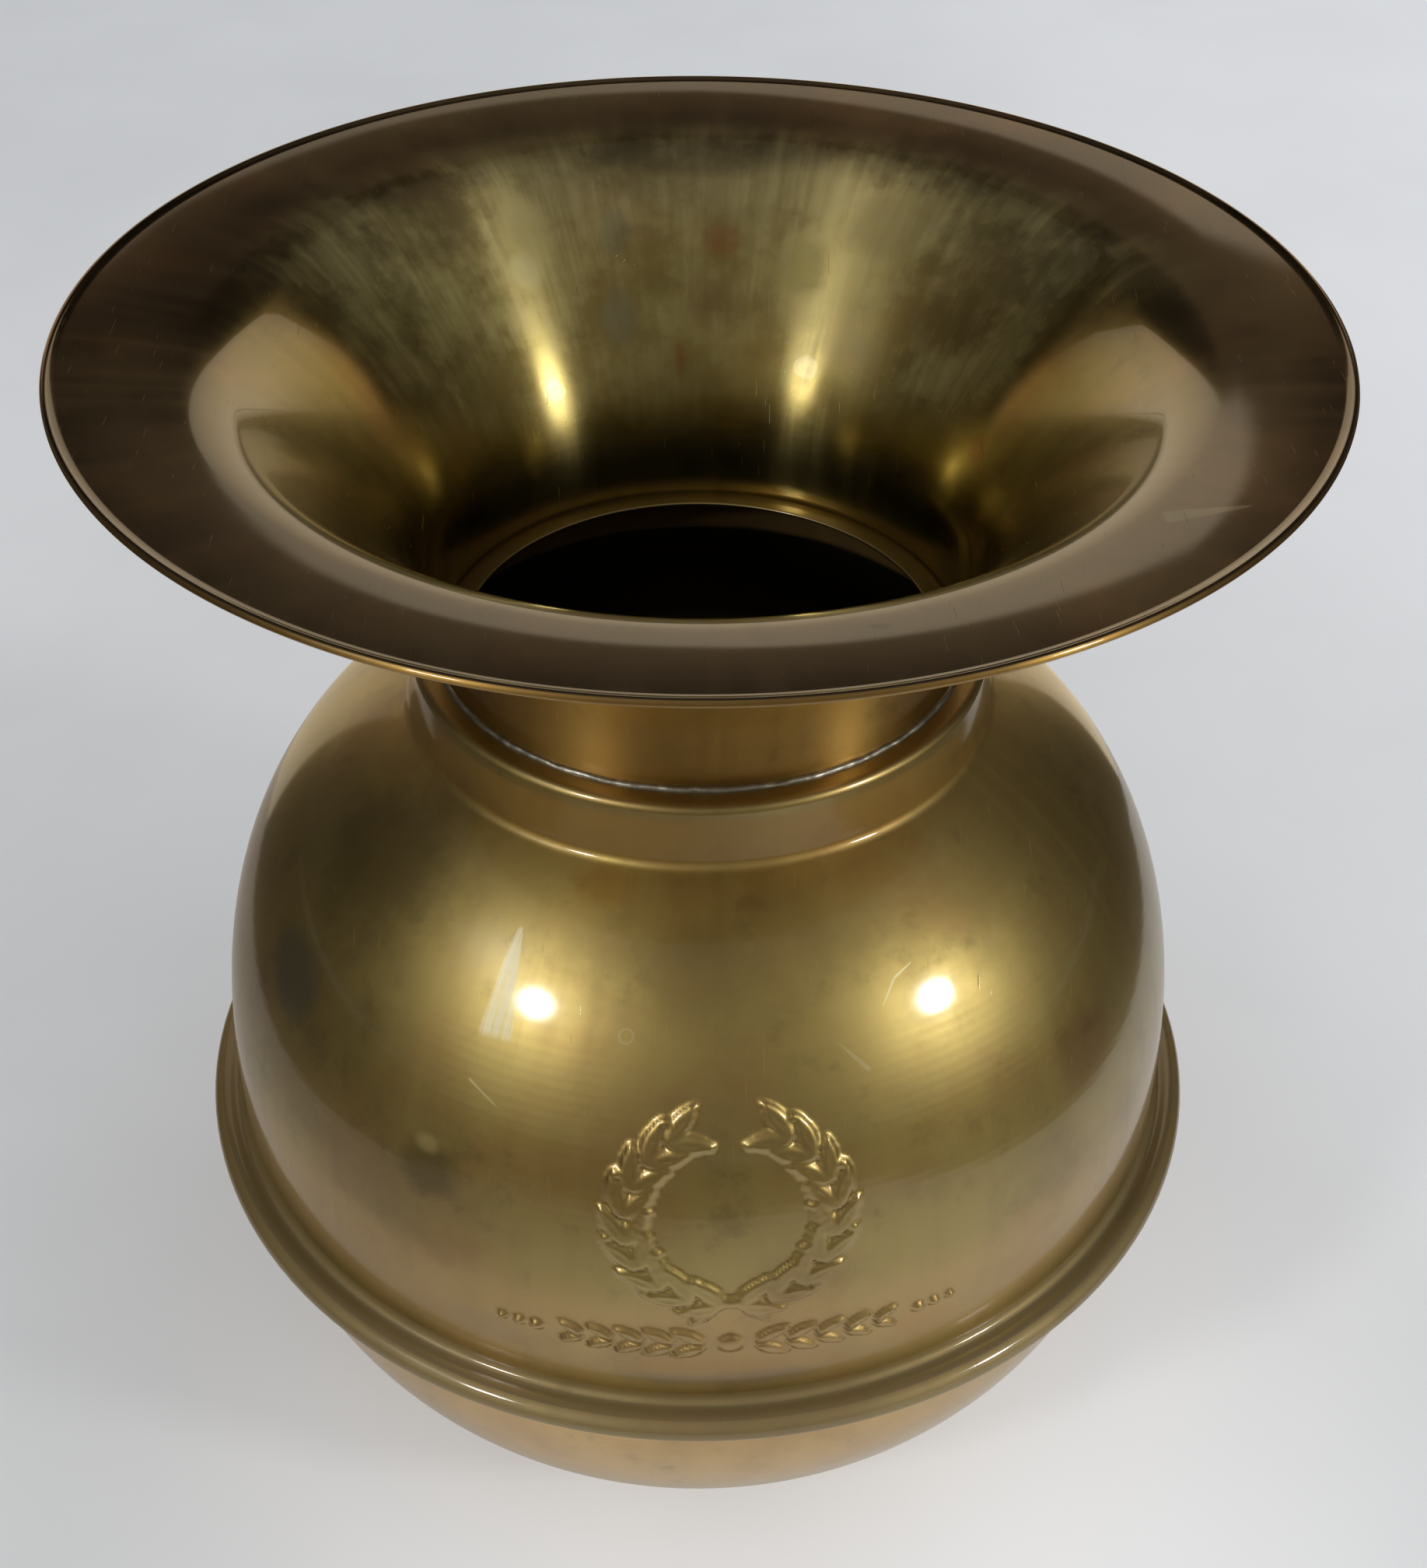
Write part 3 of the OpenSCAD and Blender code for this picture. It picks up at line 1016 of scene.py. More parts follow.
@dataclass(frozen=True)
class LacqueredBrass:
    """Old spun brass under clear lacquer.

    The metal was buffed and has dulled to a blurred gold sheen. The lacquer on it still gives sharp, nearly
    colourless reflections, which are faint from straight on and strong along the edges.
    """

    name: str
    metal: str = "CBB56F"
    tarnish: str = "8F7E4C"
    deep: str = "5C5030"
    warm: str = "B88454"
    warm_strength: float = 0.28
    tarnish_strength: float = 0.55
    streak_strength: float = 0.08
    roughness: float = 0.38
    lacquer_roughness: float = 0.11
    lacquer_ior: float = 1.6
    grain: float = 0.0
    deep_strength: float = 0.3
    cloud_mm: float = 46.0
    warm_mm: float = 31.0
    wobble_mm: float = 14.0
    deep_mm: float = 11.0
    streak_mm: float = 7.0
    streak_ring_mm: float = 95.0
    # The spinning tool's lines lie about 0.2 mm apart and would not show, so they are drawn coarser.
    spun_line_mm: float = 0.9
    spun_bump: float = 0.06
    spun_depth_mm: float = 0.02
    # Scratches from handling are as thin as a hair, and these are as wide as they need to be to show.
    scratch_mm: float = 0.32
    scratch_length_mm: float = 9.0
    scratch_bump: float = 0.14
    scratch_depth_mm: float = 0.03
    scratch_roughness: float = 0.14
    cloud_roughness: float = 0.05
    streak_roughness: float = 0.04
    line_roughness: float = 0.05
    # Darker grey for the inner side: painted shade of the vessel's dark inside.
    inner_painted_shade: str = "6E7060"
    middle_mm: float = 110.0
    # Marks laid over the metal: real stains and wear, and on the body also patches of painted shade, painted
    # highlight and painted reflection.
    wear_and_painted_light: tuple[WearOrPaintedLight, ...] = ()

    def build(self) -> bpy.types.Material:
        """Makes the material.

        Returns:
            The material.
        """
        r = Recipe(self.name)
        clouds = r.cloud(r.place, 1 / (self.cloud_mm * MM), 0.42, 0.68, 6.0)
        streaks = r.cloud(r.around(self.streak_ring_mm / self.streak_mm, 9.0), 1.0, 0.45, 0.72, 5.0)
        stains = r.cloud(r.place, 1 / (self.deep_mm * MM), 0.54, 0.74, 6.0, 0.65)
        warmer = r.cloud(r.place, 1 / (self.warm_mm * MM), 0.47, 0.66, 6.0, 0.62)
        way = r.around(2.2, 1 / (self.spun_line_mm * MM))
        lines = r.add(NOISE_TEXTURE, {"Vector": way, "Scale": 1.0, "Detail": 3.0, "Roughness": 0.6}, 0)
        wobble = r.add(NOISE_TEXTURE, {
            "Vector": r.place, "Scale": 1 / (self.wobble_mm * MM), "Detail": 5.0, "Roughness": 0.62}, 0)
        colour, rough = self.ground(r), self.roughness
        for over, mask, strength in (
            (self.tarnish, clouds, self.tarnish_strength), (self.tarnish, streaks, self.streak_strength),
            (self.warm, warmer, self.warm_strength), (self.deep, stains, self.deep_strength)
        ):
            colour = r.tone(colour, linear(over), mask, strength)
        for pattern, change in (
            (clouds, self.cloud_roughness), (streaks, self.streak_roughness), (lines, self.line_roughness)
        ):
            rough = r.add(MATH, {0: pattern, 1: change, 2: rough}, 0, operation="MULTIPLY_ADD")
        colour, rough, metallic = self.film(r, colour, rough)
        for mark in self.wear_and_painted_light:
            mask = mark.mask(r, wobble)
            colour = r.tone(colour, linear(mark.colour), mask, mark.strength)
            rough = r.add(MATH, {0: mask, 1: mark.roughness, 2: rough}, 0, operation="MULTIPLY_ADD")
        scratches = self.scratches(r)
        rough = r.add(
            MATH, {0: scratches, 1: self.scratch_roughness, 2: rough}, 0, operation="MULTIPLY_ADD"
        )
        spun = r.add(BUMP, {
            "Strength": self.spun_bump, "Distance": self.spun_depth_mm * MM, "Height": lines}, 0)
        worn = r.add(BUMP, {
            "Strength": self.scratch_bump, "Distance": self.scratch_depth_mm * MM, "Height": scratches,
            "Normal": spun}, 0, invert=True)
        shader = r.add(PRINCIPLED, {
            "Base Color": colour, "Metallic": metallic, "Roughness": rough, "Normal": worn,
            "Coat Weight": self.lacquer(r), "Coat Roughness": self.lacquer_roughness,
            "Coat IOR": self.lacquer_ior, "Coat Normal": worn,
            "Anisotropic": self.grain, "Anisotropic Rotation": 0.25,
            "Tangent": r.add("ShaderNodeTangent", {}, 0, direction_type="RADIAL", axis="Z"),
        }, 0)
        return r.finish(shader)

    def ground(self, r: Recipe) -> Socket:
        """Gives the colour of the clean metal, with a darker grey painted on the vessel's inner side as
        painted shade of its dark inside.

        Args:
            r: the material.

        Returns:
            A colour socket.
        """
        from_middle = r.from_place((0, 0, self.middle_mm))
        facing = r.add("ShaderNodeNewGeometry", {}, "Normal")
        side = r.add(VECTOR_MATH, {0: facing, 1: from_middle}, "Value", operation="DOT_PRODUCT")
        # Painted shade: faces that look towards the middle of the vessel take the darker grey.
        inner = r.add(MAP_RANGE, {"Value": side, "From Min": 0.002, "From Max": -0.002}, 0)
        return r.tone(linear(self.metal), linear(self.inner_painted_shade), inner, 1.0)

    def lacquer(self, r: Recipe) -> Socket | float:
        """Gives the weight of the lacquer, which is whole here."""
        return 1.0

    def film(self, r: Recipe, colour: Socket, rough: Socket) -> Surface:
        """Lays no film on a clean piece: gives back the colour and the roughness, and bare metal."""
        return colour, rough, 1.0

    def scratches(self, r: Recipe) -> Socket:
        """Gives thin scratches in three directions.

        Args:
            r: the material.

        Returns:
            A value socket that is 1 in a scratch.
        """
        total = None
        sizes = (self.scratch_mm, self.scratch_length_mm, self.scratch_length_mm)
        for turn, shift in ((0.5, 0.0), (1.9, 3.1), (2.8, 7.3)):
            laid = r.add("ShaderNodeMapping", {
                "Vector": r.place, "Location": (shift, shift, shift), "Rotation": (turn, turn * 0.6, turn),
                "Scale": tuple(1 / (size * MM) for size in sizes),
            }, 0)
            thin = r.cloud(laid, 1.0, 0.775, 0.81, 1.0, 0.4)
            total = thin if total is None else r.add(MATH, {0: total, 1: thin}, 0, operation="MAXIMUM")
        return total


@dataclass(frozen=True)
class MouthBrass(LacqueredBrass):
    """Brass of the funnel: gold outside, and inside a brown patina that gets darker towards the rim."""

    patina: str = "98884F"
    rim_patina: str = "5A4526"
    patina_from_mm: float = 70.0
    patina_to_mm: float = 90.0
    haze: str = "C2B67E"
    haze_strength: float = 0.5
    haze_roughness: float = 0.24
    haze_from_mm: float = 45.0
    haze_to_mm: float = 86.0
    haze_rise_mm: float = 12.0
    haze_fade_mm: float = 8.0
    haze_bare: float = 0.72
    smear_mm: float = 17.0
    wipe_mm: Point = (2.2, 24.0)
    wall_r_mm: float = 62.0
    back_from_mm: float = 8.0
    back_to_mm: float = 46.0
    wall_lacquer: float = 0.08
    lacquer_from_mm: float = 66.0
    lacquer_to_mm: float = 74.0
    outer_dullness: float = 0.26

    def away(self, r: Recipe) -> Socket:
        """Gives the distance from the vessel's axis."""
        flat = r.add(VECTOR_MATH, {0: r.place, 1: (1, 1, 0)}, 0, operation="MULTIPLY")
        return r.add(VECTOR_MATH, {0: flat}, "Value", operation="LENGTH")

    def inside(self, r: Recipe) -> Socket:
        """Gives the mask of the funnel's inner side.

        Args:
            r: the material.

        Returns:
            A value socket, 1 on faces that look up or towards the axis.
        """
        flat = r.add(VECTOR_MATH, {0: r.place, 1: (1, 1, 0)}, 0, operation="MULTIPLY")
        outward = r.add(VECTOR_MATH, {0: flat}, 0, operation="NORMALIZE")
        facing = r.add("ShaderNodeNewGeometry", {}, "Normal")
        down_and_out = r.add(VECTOR_MATH, {0: outward, 1: (0, 0, -0.6)}, 0, operation="ADD")
        side = r.add(VECTOR_MATH, {0: facing, 1: down_and_out}, "Value", operation="DOT_PRODUCT")
        return r.add(MAP_RANGE, {"Value": side, "From Min": 0.1, "From Max": -0.1}, 0)

    def lacquer(self, r: Recipe) -> Socket | float:
        """Gives the weight of the lacquer, which is worn off the funnel's wall and whole on the brim."""
        return r.add(MAP_RANGE, {
            "Value": self.away(r), "From Min": self.lacquer_from_mm * MM, "From Max": self.lacquer_to_mm * MM,
            "To Min": self.wall_lacquer}, 0)

    def ground(self, r: Recipe) -> Socket:
        """Gives the gold of the outside and the patina of the inside.

        Args:
            r: the material.

        Returns:
            A colour socket.
        """
        away = self.away(r)
        near_rim = r.add(MAP_RANGE, {
            "Value": away, "From Min": self.patina_from_mm * MM,
            "From Max": self.patina_to_mm * MM}, 0, **SOFT)
        patina = r.tone(linear(self.patina), linear(self.rim_patina), near_rim, 1.0)
        return r.tone(linear(self.metal), patina, self.inside(r), 1.0)

    def film(self, r: Recipe, colour: Socket, rough: Socket) -> Surface:
        """Lays the greasy, fingered film on the funnel's wall.

        Args:
            r: the material.
            colour: the colour so far.
            rough: the roughness so far.

        Returns:
            The colour and the roughness with the film, and how much of the surface is bare metal.
        """
        away = self.away(r)
        depth = r.add(SEPARATE, {0: r.place}, "Y")
        above, below, behind = (
            r.add(MAP_RANGE, {"Value": value, "From Min": start * MM, "From Max": end * MM}, 0, **SOFT)
            for value, start, end in (
                (away, self.haze_from_mm, self.haze_from_mm + self.haze_rise_mm),
                (away, self.haze_to_mm + self.haze_fade_mm, self.haze_to_mm - self.haze_fade_mm),
                (depth, self.back_from_mm, self.back_to_mm)
            )
        )
        across, along = self.wipe_mm
        patches = r.cloud(r.place, 1 / (self.smear_mm * MM), 0.36, 0.60, 6.0, 0.62)
        wiped = r.cloud(r.around(self.wall_r_mm / across, 1 / (along * MM)), 1.0, 0.35, 0.75, 5.0, 0.66)
        smeared = r.add(MAP_RANGE, {"Value": patches, "To Min": 0.3}, 0)
        fingered = r.add(MAP_RANGE, {"Value": wiped, "To Min": 0.6}, 0)
        film = r.product(self.inside(r), above, below, smeared, fingered, behind)
        hazy = r.tone(colour, linear(self.haze), film, self.haze_strength)
        rough = r.add(MATH, {0: film, 1: self.haze_roughness, 2: rough}, 0, operation="MULTIPLY_ADD")
        dull = r.add(MAP_RANGE, {
            "Value": self.inside(r), "From Min": 1.0, "From Max": 0.0, "To Max": self.outer_dullness}, 0)
        bare = r.add(MAP_RANGE, {"Value": film, "To Min": 1.0, "To Max": self.haze_bare}, 0)
        return hazy, r.add(MATH, {0: dull, 1: rough}, 0, operation="ADD"), bare


MOUTH_WEAR = (
    Stain((-33, 63, 224), (8, 8, 9), "B8AB72", 0.45, 0.18),
    Stain((-34, 57, 219), (4.5, 4, 4.5), "CFC798", 0.3, 0.1, 0.35),
    Stain((-50, 43, 219), (9, 9, 7), "A39A63", 0.45, 0.2),
    Stain((-58, 54, 231), (6, 6, 4), "8F8050", 0.4, 0.12),
    Stain((-16, 56, 210), (4.6, 6, 9), "B4AD8C", 0.5, 0.22, 0.18),
    Stain((-17, 67, 222), (4, 5, 6), "A9A07A", 0.45, 0.2),
    Stain((4, 67, 220), (5, 5, 5), "B07C4E", 0.5, 0.15),
    Stain((2, 59, 211), (8, 6, 9), "A38A58", 0.5, 0.2),
    Stain((-4, 53, 202), (1.4, 3, 6), "A06A3C", 0.5, 0.05, 0.15),
    Stain((19, 62, 218), (8, 7, 9), "B3A769", 0.45, 0.2),
    Stain((36, 62, 226), (14, 10, 8), "8C7C4A", 0.4, 0.12),
    Stain((50, 17, 204), (2.6, 5, 6), "9A5B30", 0.45, 0.0, 0.15),
    Stain((0, 80, 232), (40, 6, 5), "4C4026", 0.5, 0.0),
    Stain((25, -86.5, 235), (2.2, 1.2, 2), "4A3C24", 0.7, 0.1, 0.35),
    Rub((-18, 63, 217), (-16, 64, 219), (0.35, 0.2), "EDE6C8", 0.7, 0.2),
    Rub((-15.5, 63, 217), (-14, 64, 219), (0.3, 0.2), "EDE6C8", 0.7, 0.2),
    Rub((-13, 63, 217), (-11.5, 64, 219), (0.35, 0.2), "EDE6C8", 0.6, 0.2),
    Rub((33, 42, 203), (34, 36, 192), (0.3, 0.4), "D6CB95", 0.5, 0.1),
    Rub((36, 40, 207), (38, 37, 203), (0.3, 0.25), "D6CB95", 0.5, 0.1),
    Rub((39, 37, 205), (46, 29, 203), (0.3, 0.2), "D6CB95", 0.5, 0.1),
    Rub((23, 46, 200), (26, 41, 194), (0.3, 0.2), "D6CB95", 0.5, 0.1),
    Rub((-2, 57, 207), (-1, 52, 200), (0.4, 0.25), "C9B98A", 0.4, 0.1),
    Rub((69, -57.5, 234.5), (83, -56.5, 236), (4.2, 0.6), "B4A68A", 0.7, 0.2),
    Band(174, 177.5, 1.0, "8A6E3C", 0.3, 0.0),
)

# Marks on the body: real stains, scuffs and wear, and some patches of painted shade, painted highlight and
# painted reflection, each noted below.
BODY_WEAR_AND_PAINTED_LIGHT = (
    # A real scuff beside the left lamp's highlight, painted near-white at full strength: partly a painted
    # highlight of the lamp's glow spread in it.
    Rub((-30, -60, 156), (-34.5, -72.5, 141), (0.8, 6.8), "F6EFCB", 1.0, 0.14, 0.7),
    DriedDrop((-12, -76, 145), 1.25, 0.32, "D8CDA2", 0.5, 0.05),
    Rub((-39, -75, 134), (-34, -79, 131), (0.5, 0.25), "F0E6B4", 0.6, 0.05),
    Rub((36, -63, 150), (33, -66, 149), (0.3, 0.5), "F0E6B4", 0.7, 0.05),
    Rub((33, -66, 149), (31, -70, 146), (0.5, 0.3), "F0E6B4", 0.6, 0.05),
    Rub((23, -75, 143), (29, -77, 138), (0.5, 0.9), "D8CDA2", 0.5, 0.1),
    Stain((-73, -46, 130), (9, 14, 11), "5D7077", 0.5, 0.0),
    Stain((-46, -82, 100), (18, 14, 9), "B5834C", 0.3, 0.0),
    Stain((-62, -70, 106), (15, 13, 11), "B98C68", 0.35, 0.0),
    Stain((68, -57, 123), (12, 14, 12), "B07C58", 0.4, 0.0),
    Stain((62, -72, 86), (12, 10, 8), "C08F5A", 0.4, 0.0),
    Stain((40, -86, 84), (12, 8, 6), "D59A4A", 0.4, 0.0),
    Stain((-38, -87, 84), (16, 8, 5), "8F8C82", 0.35, 0.0),
    Stain((4, -95, 78.5), (28, 8, 2.6), "7F8376", 0.5, 0.0),
    Stain((0, -95, 82.5), (20, 8, 3), "C08036", 0.35, 0.0),
    # Painted shade and painted highlight of a dimple: a dark spot with a small pale glint above it.
    Stain((-47.1, -78.6, 115.2), (8, 8, 7), "4B452C", 0.5, 0.0),
    Stain((-46.9, -77.1, 120.1), (3, 3, 2.4), "D8C48C", 0.5, 0.1),
    Stain((-16, -57, 161), (7, 6, 4), "C08C34", 0.35, 0.0),
    Band(64, 74.2, 1.2, "B3A27E", 0.7, 0.24),
    Band(163.4, 172.5, 1.6, "C2964A", 0.5, 0.14),
    # Painted shade: a dark patch that cuts back the left lamp's glow on the upper left of the bowl, and a
    # lighter one that darkens the top middle.
    Stain((-52, -40, 151), (24, 22, 22), "5A4A28", 0.5, 0.0),
    Stain((0, -66, 152), (15, 14, 12), "7A6234", 0.35, 0.0),
    # Painted reflection: a paler band low on the upper bowl, where it mirrors the bright board below.
    Band(77, 98, 9.0, "E6BF84", 0.45, 0.0),
    Band(174.6, 176, 0.5, "6B5234", 0.5, 0.0),
)


@dataclass(frozen=True)
class SoftSolder:
    """Tin-lead solder as it set from the iron: dull silver-grey, lumpy and darker in soft patches."""

    name: str = "soft solder, hand-run"

    def build(self) -> bpy.types.Material:
        """Makes the material.

        Returns:
            The material.
        """
        r = Recipe(self.name)
        patches = r.cloud(r.place, 1 / (3 * MM), 0.4, 0.7, 5.0)
        lumps = r.add(NOISE_TEXTURE, {"Vector": r.place, "Scale": 1 / (1.4 * MM), "Detail": 4.0}, 0)
        colour = r.tone(linear("A3A198"), linear("6E6A5E"), patches, 0.8)
        rough = r.add(MATH, {0: patches, 1: 0.2, 2: 0.34}, 0, operation="MULTIPLY_ADD")
        bump = r.add(BUMP, {"Strength": 0.5, "Distance": 0.12 * MM, "Height": lumps}, 0)
        shader = r.add(
            PRINCIPLED, {"Base Color": colour, "Metallic": 1.0, "Roughness": rough, "Normal": bump}, 0
        )
        return r.finish(shader)


@dataclass(frozen=True)
class CastIron:
    """Sand-cast iron, left as it came from the mould: nearly black, grainy, with thin rust."""

    name: str = "cast iron, as cast"

    def build(self) -> bpy.types.Material:
        """Makes the material.

        Returns:
            The material.
        """
        r = Recipe(self.name)
        rust = r.cloud(r.place, 1 / (16 * MM), 0.5, 0.72, 6.0)
        grain = r.add(NOISE_TEXTURE, {"Vector": r.place, "Scale": 1 / (0.8 * MM), "Detail": 3.0}, 0)
        colour = r.tone(linear("4A4643"), linear("6B4026"), rust, 0.7)
        rough = r.add(MATH, {0: rust, 1: 0.2, 2: 0.62}, 0, operation="MULTIPLY_ADD")
        bump = r.add(BUMP, {"Strength": 0.6, "Distance": 0.2 * MM, "Height": grain}, 0)
        shader = r.add(
            PRINCIPLED, {"Base Color": colour, "Metallic": 0.6, "Roughness": rough, "Normal": bump}, 0
        )
        return r.finish(shader)


class Hand(Enum):
    """Side of the camera that a lamp stands on."""

    LEFT = "left"
    RIGHT = "right"


@dataclass
class PhotoCamera:
    """The camera, at the height and angle of the photograph."""

    place: Triple = (0.0, -0.350, 0.4156)
    pitch_deg: float = 38.38
    yaw_deg: float = 0.45
    roll_deg: float = -0.48
    lens_mm: float = 52.82

    def build(self) -> None:
        """Makes the camera and lets the scene use it."""
        pitch, yaw, roll = (math.radians(d) for d in (self.pitch_deg, self.yaw_deg, self.roll_deg))
        ahead = Vector((math.sin(yaw) * math.cos(pitch), math.cos(yaw) * math.cos(pitch), -math.sin(pitch)))
        level = ahead.cross(Vector((0, 0, 1))).normalized()
        down = ahead.cross(level)
        right = level * math.cos(roll) + down * math.sin(roll)
        up = right.cross(ahead)
        lens = bpy.data.cameras.new("camera")
        lens.lens = self.lens_mm
        lens.sensor_width = 36.0
        lens.clip_start = 0.01
        camera = bpy.data.objects.new("camera", lens)
        turned = Matrix((right, up, -ahead)).transposed()
        camera.matrix_world = Matrix.Translation(self.place) @ turned.to_4x4()
        bpy.context.scene.collection.objects.link(camera)
        bpy.context.scene.camera = camera


@dataclass(frozen=True)
class Glow:
    """A bright or dark area of the room, as the brass mirrors it."""

    toward: tuple[float, float]
    spread: float
    colour: str
    strength: float

    def axis(self) -> Triple:
        """Gives the unit vector towards the area, whose azimuth runs clockwise from +Y."""
        azimuth, rise = (math.radians(a) for a in self.toward)
        return (math.sin(azimuth) * math.cos(rise), math.cos(azimuth) * math.cos(rise), math.sin(rise))


@dataclass
class Studio:
    """Pale floor, two lamps, and cards round the set that only mirror-like reflections see."""

    floor_half: float = 5.0
    floor_colour: str = "DADBDC"
    floor_painted_front_light: float = 0.24
    # Painted light on the floor: a glowing pool in front of and under the object, and more glow towards the
    # right.
    floor_painted_right_light: float = 0.15
    world_strength: float = 0.78
    world_colour: str = "FAFCFF"
    board_x: float = 0.28
    board_front: float = -0.43
    board_back: float = 0.237
    board_z: float = 0.0004
    board_half: float = 2.6
    card_left: float = -0.282
    card_right: float = 0.213
    card_top: float = 0.338
    board_light: float = 0.47
    card_light: float = 0.77
    card_arch: float = 1.5
    card_slant: float = 0.09
    card_highest: float = 0.366
    card_tint_from: float = 0.25
    card_tint_soft: float = 0.03
    card_beyond: float = 0.025
    card_spare: float = 0.7
    room_r: float = 3.0
    room_light: float = 0.075
    lamp_distance: float = 1.5
    lamp_size: float = 0.22
    lamp_aim: Triple = (0.0, 0.0, 0.12)
    lamp_watts: dict = field(default_factory=lambda: {Hand.LEFT: 3.6, Hand.RIGHT: 4.6})
    lamp_toward: dict = field(default_factory=lambda: {
        Hand.LEFT: (-0.575, -0.620, 0.534), Hand.RIGHT: (0.795, -0.458, 0.399)
    })

    def card(self, name: str, place: Triple, half: tuple[float, float],
             upright: bool, paint: bpy.types.Material) -> bpy.types.Object:
        """Makes a flat card that only glossy reflections see.

        Args:
            name: the card's name.
            place: its middle.
            half: half its width and half its depth or height.
            upright: True when it faces -Y, False when it lies flat.
            paint: its material.

        Returns:
            The card.
        """
        sheet = bmesh.new()
        bmesh.ops.create_grid(sheet, x_segments=1, y_segments=1, size=1.0)
        bmesh.ops.scale(sheet, vec=(half[0], half[1], 1), verts=sheet.verts)
        if upright:
            turned = Matrix.Rotation(math.pi / 2, 3, "X")
            bmesh.ops.rotate(sheet, cent=(0, 0, 0), matrix=turned, verts=sheet.verts)
        bmesh.ops.translate(sheet, vec=place, verts=sheet.verts)
        return self.stage_piece(name, sheet, paint, True)

    def stage_piece(self, name: str, shape: bmesh.types.BMesh, paint: bpy.types.Material,
                    mirrored_only: bool) -> bpy.types.Object:
        """Turns a mesh into a piece of the stage.

        Args:
            name: the piece's name.
            shape: its mesh, which is freed.
            paint: its material.
            mirrored_only: True when only glossy reflections see it.

        Returns:
            The piece.
        """
        mesh = bpy.data.meshes.new(name)
        shape.to_mesh(mesh)
        shape.free()
        mesh.materials.append(paint)
        piece = bpy.data.objects.new(name, mesh)
        bpy.context.scene.collection.objects.link(piece)
        if mirrored_only:
            piece.visible_camera = False
            piece.visible_diffuse = False
            piece.visible_shadow = False
            piece.visible_transmission = False
            piece.visible_volume_scatter = False
        return piece

    def board_paint(self) -> bpy.types.Material:
        """Gives the white board as the brass mirrors it, which is shaded in front and ends in the dark.

        Returns:
            The material.
        """
        r = Recipe("white board, mirrored")
        x, y = (r.add(SEPARATE, {0: r.place}, axis) for axis in ("X", "Y"))
        side = r.add(MATH, {0: x}, 0, operation="ABSOLUTE")
        away = r.add(VECTOR_MATH, {0: r.place}, "Value", operation="LENGTH")
        # Side edges, front edge, front shade, back edge, shadow at the foot, and more light at the right.
        changes = (
            (side, self.board_x + 0.004, self.board_x - 0.004, 0.0, 1.0),
            (y, self.board_front - 0.005, self.board_front + 0.02, 0.0, 1.0),
            (y, -0.40, -0.10, 0.55, 1.0),
            (y, self.board_back + 0.004, self.board_back, 0.0, 1.0),
            (away, 0.045, 0.13, 0.62, 1.0),
            (x, -0.24, 0.16, 0.6, 1.55),
        )
        light = r.product(*(
            r.add(MAP_RANGE, {
                "Value": value, "From Min": start, "From Max": end, "To Min": low, "To Max": high}, 0, **SOFT)
            for value, start, end, low, high in changes
        ))
        strength = r.add(MAP_RANGE, {"Value": light, "To Min": 0.05, "To Max": self.board_light}, 0)
        colour = r.tone(linear("F2D8B8"), linear("FFFBF4"), light, 1.0)
        return r.finish(r.add(EMISSION, {"Color": colour, "Strength": strength}, 0))

    def card_paint(self) -> bpy.types.Material:
        """Gives the back card as the brass mirrors it: cream, with an arched top edge and tinted ends.

        Returns:
            The material.
        """
        r = Recipe("back card, mirrored")
        x, z = (r.add(SEPARATE, {0: r.place}, axis) for axis in ("X", "Z"))
        bow = r.add(MATH, {0: x, 1: x}, 0, operation="MULTIPLY")
        right = r.add(MATH, {0: x, 1: 0.0}, 0, operation="MAXIMUM")
        slant = r.add(MATH, {0: right, 1: self.card_slant, 2: self.card_top}, 0, operation="MULTIPLY_ADD")
        edge = r.add(MATH, {0: bow, 1: self.card_arch, 2: slant}, 0, operation="MULTIPLY_ADD")
        edge = r.add(MATH, {0: edge, 1: self.card_highest}, 0, operation="MINIMUM")
        level = r.add(MATH, {0: z, 1: edge}, 0, operation="SUBTRACT")
        lit = r.add(MAP_RANGE, {"Value": level, "From Min": 0.001, "From Max": -0.0015}, 0)
        strength = r.add(MAP_RANGE, {
            "Value": lit, "To Min": self.card_beyond, "To Max": self.card_light}, 0)
        shade = r.add(MAP_RANGE, {"Value": x, "From Min": -0.14, "From Max": 0.0, "To Min": 0.7}, 0)
        strength = r.product(strength, shade)
        side = r.add(MATH, {0: x}, 0, operation="ABSOLUTE")
        end = r.add(MAP_RANGE, {"Value": side, "From Min": 0.12, "From Max": 0.2}, 0)
        high = r.add(MAP_RANGE, {
            "Value": z, "From Min": self.card_tint_from - self.card_tint_soft,
            "From Max": self.card_tint_from + self.card_tint_soft}, 0)
        colour = r.tone(linear("FFECCB"), linear("F5C8A2"), r.product(end, high), 0.8)
        return r.finish(r.add(EMISSION, {"Color": colour, "Strength": strength}, 0))

